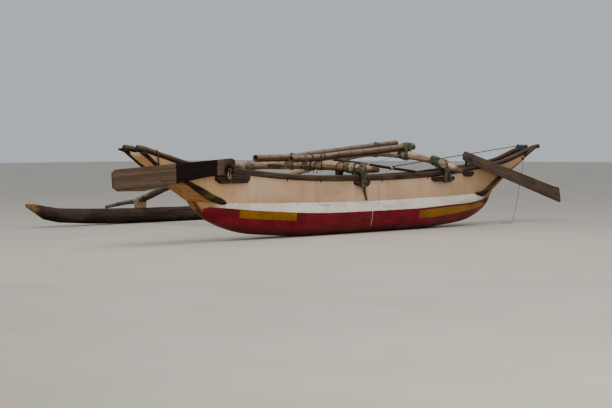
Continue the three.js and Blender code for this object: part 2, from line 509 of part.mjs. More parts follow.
// Taut stay line from the far rail's right tip over the right boom to the thin spar, knotted at both.
const STAY = { from: [4790, 118], over: -200, to: 745, knot: { r: 26, h: 46 }, end: { r: 30, h: 40 }, r: LINE_R };
{
  const [xa, ya] = STAY.from, { r, h } = STAY.knot, spar = sparPoint(STAY.to);
  const floor = railLow(xa) + 2 * knotty(xa);
  const knot = solid(pole([[xa, ya, floor - 60, r], [xa, ya, floor + h, r * 0.8]], "z", 10));
  const hitch = solid(pole([[spar[0], spar[1], spar[2] - 15, STAY.end.r],
    [spar[0], spar[1], spar[2] + STAY.end.h, STAY.end.r * 0.8]], "z", 10));
  const rope = solid(pole([[xa, ya, floor + h / 2, STAY.r],
    [BOOM_RIGHT.x(STAY.over), STAY.over, boomTop(BOOM_RIGHT, STAY.over) + STAY.r + 3, STAY.r],
    [spar[0], spar[1], spar[2] + STAY.end.h - 8, STAY.r]], "x", 8));
  add("stay_line", largest(rope.add(knot).add(hitch).subtract(solid(endRail("right", "far", GAP)))
    .subtract(solid(pole([SPAR.x0, BOOM_LEFT.x(SPAR.y0), 500, SPAR.x1].map(sparPoint).map(([x, y, z, w]) =>
      [x, y, z, w + GAP]), "x", 8)))), "cord");
}

// Free line that hangs from the near strip's tip and lies on the ground.
const LINE_ROUTE = [[4534, -184, 1196], [4533, -184, 1170], [4526, -184.4, 1136], [4508, -185, 1076],
  [4486, -185, 1000], [4462, -185, 920], [4434, -186, 830], [4401, -189, 730], [4367, -193, 630],
  [4333, -198, 535], [4297, -204, 440], [4258, -210, 348], [4216, -216, 260], [4174, -222, 176],
  [4132, -228, 98], [4092, -235, 38], [4048, -243, 10], [3992, -249, 6], [3932, -250, 6],
  [3872, -244, 6], [3814, -231, 6], [3764, -213, 6]];
const lineCurve = new THREE.CatmullRomCurve3(LINE_ROUTE.map((p) => new THREE.Vector3(...p)));
const section = new THREE.Shape(Array.from({ length: 8 }, (_, k) =>
  new THREE.Vector2(LINE_R * Math.cos(Math.PI * k / 4), LINE_R * Math.sin(Math.PI * k / 4))));
add("hanging_line", new THREE.ExtrudeGeometry(section, { steps: 76, bevelEnabled: false,
  extrudePath: lineCurve }), "cord");

export default canoe;
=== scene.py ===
import math
import random

import bpy
import numpy as np
from mathutils import Matrix, Vector, geometry, noise


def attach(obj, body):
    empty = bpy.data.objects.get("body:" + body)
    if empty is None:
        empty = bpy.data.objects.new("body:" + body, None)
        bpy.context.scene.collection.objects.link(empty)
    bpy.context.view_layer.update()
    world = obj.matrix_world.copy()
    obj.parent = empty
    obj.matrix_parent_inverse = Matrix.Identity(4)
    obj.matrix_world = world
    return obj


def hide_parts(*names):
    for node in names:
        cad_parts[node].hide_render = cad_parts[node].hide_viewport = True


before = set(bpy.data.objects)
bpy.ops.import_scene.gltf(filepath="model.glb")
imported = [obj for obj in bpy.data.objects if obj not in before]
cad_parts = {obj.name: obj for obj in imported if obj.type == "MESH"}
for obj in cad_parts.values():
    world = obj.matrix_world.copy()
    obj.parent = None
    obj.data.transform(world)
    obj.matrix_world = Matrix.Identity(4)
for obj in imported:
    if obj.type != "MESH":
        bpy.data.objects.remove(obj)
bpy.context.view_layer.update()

# Camera: eye height on the beach, looking at the open side of the hull from its left quarter,
# through a long lens.
FOCAL_PIXELS, WIDTH_PIXELS, SENSOR = 1600, 612, 36


def placed(name, data):
    """Adds an object to the scene."""
    made = bpy.data.objects.new(name, data)
    bpy.context.collection.objects.link(made)
    return made


camera = placed("camera", bpy.data.cameras.new("camera"))
camera.data.sensor_width = SENSOR
camera.data.lens = FOCAL_PIXELS / WIDTH_PIXELS * SENSOR
camera.data.clip_end = 400
camera_right = Vector((0.66635812, -0.74562766, -0.00249827))
camera_up = Vector((0.02933652, 0.02286944, 0.99930794))
camera_back = Vector((-0.74505451, -0.66597025, 0.03711336))
camera.matrix_world = Matrix((camera_right, camera_up, camera_back)).transposed().to_4x4()
camera.matrix_world.translation = (-20.36129, -16.99994, 1.45)
bpy.context.scene.camera = camera

# The loose line: a thin laid cord, tied at the near strip's tip at the right end, that hangs
# down between the hull and the steering paddle and trails on the ground.


def rgb(red, green, blue):
    """A colour as it looks on a screen, 0 to 255, in the renderer's linear values."""
    return tuple(((c / 255 + 0.055) / 1.055) ** 2.4 if c > 10 else c / 255 / 12.92
                 for c in (red, green, blue)) + (1,)


def shaded(colour, share):
    return tuple(c * share for c in colour[:3]) + (1,)


class Value:
    """What a node gives. An operation on it adds a math node to the same tree."""

    def __init__(self, tree, socket):
        self.tree, self.socket = tree, socket

    def reckon(self, operation, other=0.0):
        return put(self.tree, "ShaderNodeMath", {0: self, 1: other}, operation=operation)

    def __add__(self, other):
        return self.reckon("ADD", other)

    def __sub__(self, other):
        return self.reckon("SUBTRACT", other)

    def __mul__(self, other):
        return self.reckon("MULTIPLY", other)

    def __truediv__(self, other):
        return self.reckon("DIVIDE", other)

    def __abs__(self):
        return self.reckon("ABSOLUTE")


def put(tree, kind, inputs=None, out=0, **props):
    """Adds a node, sets its properties, links or sets its inputs, and gives one of its outputs."""
    node = tree.nodes.new(kind)
    for key, value in props.items():
        setattr(node, key, value)
    for key, value in (inputs or {}).items():
        if isinstance(value, Value):
            tree.links.new(value.socket, node.inputs[key])
        else:
            node.inputs[key].default_value = value
    return Value(tree, node.outputs[out])


def axes_of(vector):
    """A vector's x, y and z."""
    node = put(vector.tree, "ShaderNodeSeparateXYZ", {0: vector}).socket.node
    return [Value(vector.tree, socket) for socket in node.outputs]


def mixed(factor, a, b):
    """Colour a turning into colour b with the factor."""
    return put(factor.tree, "ShaderNodeMix", {0: factor, 6: a, 7: b}, 2, data_type="RGBA")


def spread(value, low, high, out_low=0.0, out_high=1.0):
    """A value's range low to high, eased, as out_low to out_high."""
    return put(value.tree, "ShaderNodeMapRange",
               {0: value, 1: low, 2: high, 3: out_low, 4: out_high},
               interpolation_type="SMOOTHSTEP")


def vector_sum(operation, vector, other, out=0):
    return put(vector.tree, "ShaderNodeVectorMath", {0: vector, 1: other}, out, operation=operation)


def cloudy(vector, scale, detail=4.0, rough=0.55, stretch=None):
    """Noise, about 0 to 1, stretched along the axes if asked."""
    if stretch:
        vector = vector_sum("MULTIPLY", vector, stretch)
    return put(vector.tree, "ShaderNodeTexNoise",
               {"Vector": vector, "Scale": scale, "Detail": detail, "Roughness": rough}, "Fac")


def shader_group(name, inputs, outputs):
    """A shader group: its tree, its inputs (a vector where no value is given), and what sets its
    outputs."""
    tree = bpy.data.node_groups.new(name, "ShaderNodeTree")
    for label, value in inputs.items():
        kind = "NodeSocketVector" if value is None else "NodeSocketFloat"
        socket = tree.interface.new_socket(label, in_out="INPUT", socket_type=kind)
        if value is not None:
            socket.default_value = value
    for label in outputs:
        tree.interface.new_socket(label, in_out="OUTPUT", socket_type="NodeSocketFloat")
    given, result = tree.nodes.new("NodeGroupInput"), tree.nodes.new("NodeGroupOutput")

    def give(**values):
        for label, value in values.items():
            tree.links.new(value.socket, result.inputs[label])
    return tree, [Value(tree, given.outputs[label]) for label in inputs], give


def use(group, **inputs):
    """What a shader group gives, by name."""
    tree = inputs["Vector"].tree
    node = put(tree, "ShaderNodeGroup", inputs, node_tree=group).socket.node
    return {socket.name: Value(tree, socket) for socket in node.outputs}


def material(name, roughness=0.8, **shader):
    """A new material, with object coordinates and the piece's own UV, in metres."""
    made = bpy.data.materials.new(name)
    made.use_nodes = True
    for key, value in {"Roughness": roughness, **shader}.items():
        made.node_tree.nodes["Principled BSDF"].inputs[key.replace("_", " ")].default_value = value
    return made, *(put(made.node_tree, "ShaderNodeTexCoord", out=out) for out in ("Object", "UV"))


def finish_look(made, colour, height=None, strength=0.4, distance=0.004, roughness=None):
    """Joins a material's colour, bump and roughness to its shader."""
    shader = made.node_tree.nodes["Principled BSDF"].inputs
    bump = height and put(made.node_tree, "ShaderNodeBump", {"Height": height, "Strength": strength,
                                                             "Distance": distance})
    for label, value in (("Base Color", colour), ("Roughness", roughness), ("Normal", bump)):
        if value:
            made.node_tree.links.new(value.socket, shader[label])
    return made


# the lay of a rope's strands, from UV in metres: u along it, v round it
rope_lay, (vector, strand), give = shader_group(
    "rope lay", {"Vector": None, "Strand": 0.012}, ("Height", "Groove"))
along, about, _ = axes_of(vector)
turn = abs(((along + about) / strand * math.pi).reckon("SINE"))
give(Height=turn, Groove=spread(turn, 0.45, 0.0))


def rope_material(name, light, dark, strand=0.012):
    """Laid fibre rope, faded from one colour to the other, with painted shade in its grooves."""
    made, place, uv = material(name, 0.92, Sheen_Weight=0.25)
    lay = use(rope_lay, Vector=uv, Strand=strand)
    faded = mixed(spread(cloudy(place, 24), 0.35, 0.65), light, dark)
    return finish_look(made, mixed(lay["Groove"] * 0.75, faded, shaded(dark, 0.25)), lay["Height"],
                       0.6, 0.002)


def spline(a, b, c, d, t):
    """The value a share t of the way from b to c, on a smooth line through all four."""
    return 0.5 * (2 * b + (c - a) * t + (2 * a - 5 * b + 4 * c - d) * t ** 2
                  + (3 * b - a - 3 * c + d) * t ** 3)


def curve(points):
    """A smooth curve through points: its length, and a function for the place at a distance."""
    p = [Vector(q) for q in points]
    p = [p[0] * 2 - p[1]] + p + [p[-1] * 2 - p[-2]]
    fine = [spline(*four, k / 12) for four in zip(p, p[1:], p[2:], p[3:]) for k in range(12)]
    fine.append(p[-2])
    run = [0.0]
    for a, b in zip(fine, fine[1:]):
        run.append(run[-1] + (b - a).length)
    columns = list(zip(*fine))
    return run[-1], lambda mark: Vector([float(np.interp(mark, run, column)) for column in columns])


def smooth_path(points, step):
    length, at = curve(points)
    return [at(mark) for mark in np.linspace(0, length, max(2, round(length / step)) + 1)]


def heading(path, k):
    """The way a path runs at its point k."""
    return (path[min(k + 1, len(path) - 1)] - path[max(k - 1, 0)]).normalized()


def round_points(count, start=0.0):
    """The cosine and sine of evenly spaced angles round a circle."""
    return [(math.cos(a), math.sin(a))
            for a in (2 * math.pi * (k + start) / count for k in range(count))]


def tube_rings(path, radius, sides):
    """Rings of an untwisted tube along a path. The radius is one number, or a list."""
    rings, across = [], heading(path, 0).orthogonal().normalized()
    for k, here in enumerate(path):
        ahead = heading(path, k)
        across = (across - ahead * across.dot(ahead)).normalized()
        other = ahead.cross(across)
        r = radius[k] if isinstance(radius, list) else radius
        rings.append([here + (across * c + other * s) * r for c, s in round_points(sides)])
    return rings


def facing_out(mesh):
    """Turns a closed mesh's faces outwards if they point in."""
    volume = 0.0
    for face in mesh.polygons:
        ring = [mesh.vertices[k].co for k in face.vertices]
        for b, c in zip(ring[1:], ring[2:]):
            volume += ring[0].dot(b.cross(c))
    if volume < 0:
        mesh.flip_normals()


def mesh_piece(name, lofts, look, sharp=None, attributes=None):
    """One piece from closed lofts of rings, with caps and UV in metres: u along, v round."""
    corners, faces, uvs = [], [], []
    for rings in lofts:
        n, start, along = len(rings[0]), len(corners), 0.0
        girth = [0.0]
        widest = max(rings, key=lambda ring: sum((a - b).length for a, b in zip(ring, ring[1:])))
        for i in range(n):
            girth.append(girth[-1] + (widest[(i + 1) % n] - widest[i]).length)
        for ring in rings:
            corners.extend(ring)
        for r in range(len(rings) - 1):
            step = sum((a - b).length for a, b in zip(rings[r], rings[r + 1])) / n
            for i in range(n):
                j, low, high = (i + 1) % n, start + r * n, start + (r + 1) * n
                faces.append((low + i, low + j, high + j, high + i))
                uvs.extend([(along, girth[i]), (along, girth[i + 1]), (along + step, girth[i + 1]),
                            (along + step, girth[i])])
            along += step
        first, last = list(range(start, start + n)), list(range(len(corners) - n, len(corners)))
        for face in (first[::-1], last):
            middle = sum((corners[k] for k in sorted(face)), Vector()) / n
            faces.append(face)
            for away in (corners[k] - middle for k in face):
                uvs.append((away.y + away.x, away.z))
    mesh = bpy.data.meshes.new(name)
    mesh.from_pydata([tuple(c) for c in corners], [], faces)
    mesh.uv_layers.new(name="UVMap").data.foreach_set("uv", [c for uv in uvs for c in uv])
    mesh.materials.append(look)
    for key, values in (attributes or {}).items():
        mesh.attributes.new(key, "FLOAT", "POINT").data.foreach_set("value", values)
    mesh.shade_smooth()
    if sharp:
        mesh.set_sharp_from_angle(angle=math.radians(sharp))
    facing_out(mesh)
    piece = placed(name, mesh)
    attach(piece, "canoe")
    return piece


LINE_ROUTE = [
    (4.534, -0.184, 1.196), (4.533, -0.184, 1.170), (4.526, -0.1844, 1.136), (4.508, -0.185, 1.076),
    (4.486, -0.185, 1.000), (4.462, -0.185, 0.920), (4.434, -0.186, 0.830), (4.401, -0.189, 0.730),
    (4.367, -0.193, 0.630), (4.333, -0.198, 0.535), (4.297, -0.204, 0.440), (4.258, -0.21, 0.348),
    (4.216, -0.216, 0.260), (4.174, -0.222, 0.176), (4.132, -0.228, 0.098), (4.092, -0.235, 0.038),
    (4.048, -0.243, 0.010), (3.992, -0.249, 0.006), (3.932, -0.25, 0.006), (3.872, -0.244, 0.006),
    (3.814, -0.231, 0.006), (3.764, -0.213, 0.006)]
LINE_D = 0.008
line_path = smooth_path(LINE_ROUTE, 0.012)
tan_rope = rope_material("tan rope", rgb(168, 152, 118), rgb(120, 104, 76))
dark_rope = rope_material("dark rope", rgb(62, 54, 36), rgb(24, 20, 13))
line_brown = rope_material("line brown", rgb(104, 62, 44), rgb(60, 34, 24), 0.006)
hanging_line = mesh_piece("hanging_cord", [tube_rings(line_path, LINE_D / 2, 10)],
                          line_brown)
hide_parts("hanging_line")
line_length = sum((a - b).length for a, b in zip(line_path, line_path[1:]))
tuple(line_path[0])
[tuple(p) for p in line_path]

# Dugout: one log, hollowed by adze between two solid horns, its outside faired and painted
# crimson with yellow panels under a white band, its inside bare wood. The tables hold heights
# and half widths as [distance from amidships, value], in millimetres.
KEEL_Z = [[0, 0], [1500, 0], [1700, 9], [2250, 45], [2650, 78], [3110, 165], [3450, 276],
          [3690, 392], [3820, 500], [3940, 604]]
KEEL_W = [[0, 80], [2650, 66], [3200, 48], [3940, 34]]
RED_Z = [[0, 350], [1100, 354], [1700, 372], [2250, 405], [2650, 438], [3200, 495], [3690, 546],
         [3940, 604]]
RED_W = [[0, 340], [1100, 333], [1700, 316], [2250, 289], [2800, 247], [3200, 200], [3450, 156],
         [3690, 100], [3820, 66], [3940, 38]]
TOP_Z = [[0, 520], [1500, 537], [2650, 561], [3110, 575], [3450, 590], [3940, 613]]
TOP_W = [[0, 240], [1700, 237], [2800, 215], [3200, 188], [3450, 160], [3690, 98], [3940, 38]]
RIGHT_HORN = [[0, 0], [2800, 2800], [3200, 3290], [3720, 3940]]
LOG_ENDS, HOLLOW_END = (-3940, 3720), 3250
WALL, FLOOR_T = 42, 62


def eased(table):
    """A smooth function through a table that never overshoots it, even about amidships."""
    s, v = [float(a) for a, _ in table], [float(b) for _, b in table]
    gap = [b - a for a, b in zip(s, s[1:])]
    slope = [(b - a) / g for a, b, g in zip(v, v[1:], gap)]
    tilt = [0.0 if s[0] == 0 else slope[0]]
    for a, b, ga, gb in zip(slope, slope[1:], gap, gap[1:]):
        weighted = (2 * gb + ga, gb + 2 * ga)
        tilt.append(0.0 if a * b <= 0 else sum(weighted) / (weighted[0] / a + weighted[1] / b))
    tilt.append(slope[-1])

    def at(x):
        a = min(max(abs(x), s[0]), s[-1])
        k = min(max(int(np.searchsorted(s, a)) - 1, 0), len(gap) - 1)
        g, t = gap[k], (a - s[k]) / gap[k]
        return ((1 + 2 * t) * (1 - t) ** 2 * v[k] + t * (1 - t) ** 2 * g * tilt[k]
                + t * t * (3 - 2 * t) * v[k + 1] + t * t * (t - 1) * g * tilt[k + 1])
    return at


def between(table, x, column=1):
    """A table's value at x, on straight lines between its rows."""
    return float(np.interp(x, [row[0] for row in table], [row[column] for row in table]))


def through(points, each=4):
    """A smooth line through 2-D points, with each samples to a span."""
    p = [points[0]] + points + [points[-1]]
    return [tuple(spline(*four, k / each) for four in zip(*places))
            for places in zip(p, p[1:], p[2:], p[3:]) for k in range(each)] + [tuple(points[-1])]


def in_metres(x, half, flip=1):
    return [Vector((x, flip * y, z)) / 1000 for y, z in half]


keel_z, keel_w, red_z, red_w, top_z, top_w = map(
    eased, (KEEL_Z, KEEL_W, RED_Z, RED_W, TOP_Z, TOP_W))
horn = lambda x: between(RIGHT_HORN, x) if x > 0 else x


def log_ring(x, hollow):
    """The log's ring at x: its outside, left over the keel to right, then its inside."""
    h = horn(x)
    kz, kw, rz, rw, tz, tw = keel_z(h), keel_w(h), red_z(h), red_w(h), top_z(h), top_w(h)
    d, rise = rw - kw, rz - kz
    outer = through([(kw, kz), (kw + 0.52 * d, kz + 0.1 * rise), (kw + 0.82 * d, kz + 0.33 * rise),
                     (kw + 0.97 * d, kz + 0.7 * rise), (rw, rz),
                     (rw - 0.36 * (rw - tw), rz + 0.45 * (tz - rz)), (tw, tz)])
    inner_w, floor_z = rw - WALL, kz + FLOOR_T
    if hollow:
        inner = through([(0, floor_z), (kw * 0.8, floor_z), (inner_w * 0.72, floor_z + 0.16 * rise),
                         (inner_w * 0.96, floor_z + 0.42 * rise), (inner_w, rz - 10),
                         (tw - WALL, tz)], 3)
    else:
        inner = [(tw * k / 16, tz) for k in range(16)]
    ring = in_metres(x, outer[::-1], -1) + in_metres(x, outer) + in_metres(x, inner[::-1])
    return ring + in_metres(x, inner[1:], -1)


OUTSIDE_POINTS = 50
log_rings = []
for x in sorted({*np.linspace(*LOG_ENDS, 150).tolist(), -HOLLOW_END, HOLLOW_END}):
    if abs(x) == HOLLOW_END:
        log_rings.extend([log_ring(x, x > 0), log_ring(x + 1, x < 0)])
    else:
        log_rings.append(log_ring(x, abs(x) < HOLLOW_END))
drop = [red_z(horn(v.x * 1000)) / 1000 - v.z for ring in log_rings for v in ring]
inside = [0.0 if k < OUTSIDE_POINTS else 1.0 for ring in log_rings for k in range(len(ring))]

# weathered timber from UV in metres: streaks and checks that run along u
timber, (vector, fine, checks), give = shader_group(
    "timber", {"Vector": None, "Fine": 1.0, "Checks": 0.5}, ("Tone", "Check", "Height"))
flow = put(timber, "ShaderNodeVectorMath", {0: vector, "Scale": fine}, operation="SCALE")
swirl = put(timber, "ShaderNodeTexNoise", {"Vector": flow, "Scale": 1.6, "Detail": 2.0}, "Color")
bend = vector_sum("ADD", flow, vector_sum("MULTIPLY", swirl, (0.0, 0.03, 0.03)))
streak = cloudy(bend, 1.0, 6.0, 0.65, (0.9, 26.0, 26.0))
fibre = cloudy(bend, 1.0, 3.0, stretch=(2.4, 130.0, 130.0))
lines = cloudy(bend, 1.0, 0.0, 0.4, (0.11, 30.0, 30.0))
broken = spread(cloudy(flow, 1.0, 2.0, stretch=(1.6, 9.0, 9.0)), 0.47, 0.60)
check = spread(abs(lines - 0.5), 0.030, 0.006) * broken * checks
give(Tone=streak * 0.75 + fibre * 0.25, Check=check,
     Height=streak * 0.5 + fibre * 0.25 - check * 1.6)

# grime in soft patches, and sharp-edged chips and scratches, from object coordinates
wear, (vector, size, chips), give = shader_group(
    "wear", {"Vector": None, "Size": 1.0, "Chips": 0.5}, ("Grime", "Chip"))
large = cloudy(vector, size, 5.0, 0.6)
torn = large * 0.45 + cloudy(vector, size * 14.0, 3.0, 0.6) * 0.55
fewer = chips * -0.2
give(Grime=spread(large, 0.42, 0.68), Chip=spread(torn, fewer + 0.75, fewer + 0.77))


def highest(a, b):
    return a.reckon("MAXIMUM", b)


def layered(colour, *layers):
    """A colour with others laid over it in turn, each by its own factor."""
    for factor, shade in layers:
        colour = mixed(factor, colour, shade)
    return colour


def attribute(place, name):
    """What a mesh says of its points under a name."""
    return put(place.tree, "ShaderNodeAttribute", out="Fac", attribute_name=name)


hull_paint, place, _ = material("hull paint", 0.5, Specular_IOR_Level=0.16)
below_red, is_inside = attribute(place, "drop"), attribute(place, "inside")
x, y, z = axes_of(place)
wobble = (cloudy(place, 9, 3) - 0.5) * 0.009
# the border lies just over the log's widest line amidships, and falls towards the ends
fall = (highest(spread(x, 1.7, 3.3, -0.010, 0.046), spread(x, -1.8, -3.4, -0.014, 0.006))
        + highest(spread(x, -3.58, -3.92, 0.0, 0.10), spread(x, 3.42, 3.70, 0.0, 0.03)))
depth = below_red + wobble
edge = depth - fall
grime = use(wear, Vector=place, Size=2.4, Chips=0.35)["Grime"]
scuffs = use(wear, Vector=vector_sum("MULTIPLY", place, (0.35, 1.0, 2.2)), Size=3.5,
             Chips=0.9)["Chip"]
uneven_red = spread(cloudy(place, 3.0, stretch=(0.8, 1, 3)), 0.3, 0.7)
# crimson darkens downwards: brown with sand and wear at the keel, and painted shade on the lower
# belly
crimson = layered(mixed(uneven_red, rgb(122, 2, 29), rgb(92, 0, 16)),
                  (spread(z, 0.16, 0.0) * 0.75, rgb(52, 12, 8)),
                  (spread(below_red, 0.17, 0.36, 0.0, 0.6), rgb(48, 2, 4)))


def within(value, low, high, soft=0.004):
    """One between low and high and nothing outside them, with soft borders."""
    return spread(value, low - soft, low + soft) * spread(value, high + soft, high - soft)


left_panel = within(x, -3.08, -1.90) * within(edge, 0.006, 0.128)
right_panel_top = spread(x, 3.12, 3.42, 0.036, 0.100)
right_panel = (within(x, 1.20, 3.46) * spread(edge - right_panel_top, -0.004, 0.004)
               * spread(depth, 0.169, 0.161))
drip_line = within(x + wobble * 2.0, -0.092, -0.078, 0.003) * spread(edge, 0.27, 0.20)
is_white = highest(spread(edge, 0.003, -0.003),
                   drip_line * spread(cloudy(place, 30), 0.35, 0.5, 0.0, 0.55))
stain = (spread(cloudy(place, 3.0, 5, 0.7, (3.2, 1, 0.8)), 0.60, 0.74)
         * within(edge, -0.19, -0.03, 0.02))
painted = layered(
    crimson, (highest(left_panel, right_panel), mixed(grime, rgb(142, 98, 3), rgb(114, 75, 5))),
    (is_white, mixed(grime, rgb(232, 220, 206), rgb(210, 194, 176))),
    (stain * 0.65, rgb(158, 120, 66)), (scuffs * 0.5, rgb(92, 52, 40)),
    (is_white * highest(spread(x, -3.36, -3.60), spread(x, 3.16, 3.36)),
     mixed(grime, rgb(172, 134, 92), rgb(140, 102, 66))),
    (spread(abs(x), 3.48, 3.86) * spread(abs(y), 0.075, 0.03) * 0.9, rgb(86, 50, 26)))
# the horn's leading edge at the left is rubbed through to dark wood, between orange primer
RUB_MIDDLE, RUB_SIN, RUB_COS = (-3.835, -0.04, 0.545), 0.735, 0.678
from_rub = vector_sum("SUBTRACT", place, RUB_MIDDLE)
across_rub = abs(wobble + vector_sum("DOT_PRODUCT", from_rub, (RUB_SIN, 0, RUB_COS), "Value"))
along_rub = vector_sum("DOT_PRODUCT", from_rub, (RUB_COS, 0, -RUB_SIN), "Value")
for width, shade in ((0.050, rgb(146, 86, 44)), (0.022, rgb(54, 28, 17))):
    rubbed = spread(across_rub, width, width * 0.6) * within(along_rub, -0.16, 0.13, 0.02)
    painted = mixed(rubbed * 0.85, painted, shade)
grain = use(timber, Vector=place, Fine=1.0, Checks=0.6)
bare = put(place.tree, "ShaderNodeValToRGB", {0: grain["Tone"]})
BARE_WOOD = ((0.3, rgb(70, 54, 42)), (0.6, rgb(120, 98, 76)))
for stop, (mark, shade) in zip(bare.socket.node.color_ramp.elements, BARE_WOOD):
    stop.position, stop.color = mark, shade
adzed = put(place.tree, "ShaderNodeTexVoronoi",
            {"Vector": vector_sum("MULTIPLY", place, (1, 1.6, 1.6)), "Scale": 11.0}, "Distance",
            feature="SMOOTH_F1")
brushed = cloudy(place, 4.0, 3, stretch=(1.0, 5.0, 14.0))
finish_look(hull_paint, mixed(is_inside, painted, bare),
            brushed * 0.5 + adzed * (is_inside * 0.9 + 0.25), 0.35, 0.006,
            highest(is_inside, grime) * 0.3 + 0.36)
dugout = mesh_piece("dugout", [log_rings], hull_paint, 38,
                    {"drop": drop, "inside": inside})
PARTS = ("left", "middle", "right")
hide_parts("log_horn_left", "log_horn_right", *("log_bottom_" + part for part in PARTS),
            *(f"log_side_{part}_{side}" for part in PARTS for side in ("near", "far")))

# Washstrakes: one sawn plank on each side, sewn to the log's edge with coir, that carries on past
# the log as a raised end. Tan with old oil and dirt, streaked brown below the rail.
SHEER_Z = [[0, 948], [550, 950], [1100, 960], [1700, 982], [2250, 1018], [2800, 1068], [3200, 1102],
           [3600, 1142], [4080, 1216], [4440, 1308], [4760, 1394], [4940, 1441], [5150, 1466]]
STRAKE_TOP_W = [[0, 228], [1500, 225], [2650, 210], [3200, 194], [3600, 180], [4080, 161],
                [4440, 147], [5150, 121]]
STRAKE_LOW_W = [[0, 240], [1700, 237], [2800, 215], [3200, 188], [3450, 165], [3690, 160],
                [4080, 156], [4440, 147], [5150, 121]]
RAKE_LEFT = [[3450, 590.3], [3690, 658], [3820, 722], [3940, 788], [4080, 866], [4200, 925],
             [4440, 1035], [4600, 1105], [4760, 1182], [4940, 1290], [5150, 1400]]
RAKE_RIGHT = [[3300, 584.5], [3450, 640], [3600, 716], [3690, 765], [3820, 842], [3940, 905],
              [4080, 972], [4200, 1022], [4440, 1118], [4600, 1178], [4760, 1250], [4940, 1330]]
STRAKE_ENDS, STRAKE_T, RAIL_H = (-4940, 4900), 26, 92
SEAT = 0.3      # the gap the CAD leaves between pieces that touch
SIDES = {"near": -1, "far": 1}
sheer_z, strake_top_w, strake_low_w, rake_left, rake_right = map(
    eased, (SHEER_Z, STRAKE_TOP_W, STRAKE_LOW_W, RAKE_LEFT, RAKE_RIGHT))
rake_z = lambda x: rake_left(x) if x < 0 else rake_right(x)
rail_low = lambda x: sheer_z(x) - RAIL_H


def strake_ring(x, side):
    start = RAKE_LEFT[0][0] if x < 0 else RAKE_RIGHT[0][0]
    low = top_z(horn(x)) + SEAT if abs(x) <= start else rake_z(x)
    top, outer_low, outer_top = rail_low(x) - SEAT, strake_low_w(x), strake_top_w(x)
    outer = [(outer_low + (outer_top - outer_low) * t + 1.5 * math.sin(math.pi * t),
              low + (top - low) * t) for t in (0, 0.03, 0.2, 0.4, 0.6, 0.8, 0.97, 1)]
    outer[0], outer[-1] = (outer[0][0] - 3, outer[0][1]), (outer[-1][0] - 3, outer[-1][1])
    inner = [(y - STRAKE_T + (6 if k in (0, 7) else 0), z) for k, (y, z) in enumerate(outer)]
    return in_metres(x, outer + inner[::-1], side)


strake_paint, place, _ = material("washstrake paint", 0.75, Specular_IOR_Level=0.15)
x = axes_of(place)[0]
grime = use(wear, Vector=vector_sum("MULTIPLY", place, (0.6, 1, 1.2)), Size=1.6, Chips=0.5)
grain = use(timber, Vector=place, Fine=0.8, Checks=0.25)
runs = cloudy(place, 1.0, 5.0, 0.7, (7.0, 1.0, 0.45))
thin_runs = cloudy(place, 1.0, 3.0, 0.6, (28.0, 1.0, 0.9))
pale = layered(mixed(spread(cloudy(place, 1.3), 0.35, 0.65), rgb(213, 181, 150),
                     rgb(202, 165, 132)),
               (highest(spread(x, 2.3, 3.7), spread(x, -2.7, -3.6)) * 0.85, rgb(204, 162, 112)),
               # painted shade: darker towards the right end
               (spread(x, 1.6, 3.6, 0.0, 0.55) * spread(x, 4.3, 3.7), rgb(150, 110, 76)),
               (spread(runs, 0.5, 0.78, 0.0, 0.5), rgb(158, 122, 92)),
               (spread(thin_runs, 0.60, 0.78, 0.0, 0.35), rgb(126, 92, 66)),
               (grime["Grime"] * 0.35, rgb(150, 122, 98)), (grime["Chip"] * 0.5, rgb(110, 90, 74)),
               (grain["Check"] * 0.6, rgb(84, 64, 50)))
finish_look(strake_paint, pale, grain["Height"] * 0.4 + cloudy(place, 2.0, 3, stretch=(2, 2, 9)),
            0.3, 0.004)
for side_name, side in SIDES.items():
    rings = [strake_ring(x, side) for x in np.linspace(*STRAKE_ENDS, 190)]
    strake = mesh_piece(f"washstrake_plank_{side_name}", [rings], strake_paint, 35)
    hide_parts("washstrake_" + side_name)

# Stem heads: a carved wedge of timber on each horn, between the washstrakes' ends, painted ochre
# and worn to the wood along its edge. Each has its end of the boat, where it starts and stops,
# its underside, and its half width.
STEMS = {
    "left": (-1, 3600, 4600, [(3940, 613), (4080, 688), (4200, 756), (4440, 890), (4600, 985)],
             [(3600, 118), (3690, 92), (3940, 38), (4200, 44), (4440, 72), (4600, 94)]),
    "right": (1, 3450, 4600, [(3720, 613), (3820, 655), (3940, 735), (4080, 830), (4200, 900),
                              (4440, 1036), (4600, 1125)],
              [(3450, 116), (3600, 73), (3720, 38), (3940, 42), (4200, 52), (4440, 76),
               (4600, 94)]),
}


def upward(place):
    """How far a surface faces up."""
    return axes_of(put(place.tree, "ShaderNodeNewGeometry", out="Normal"))[2]


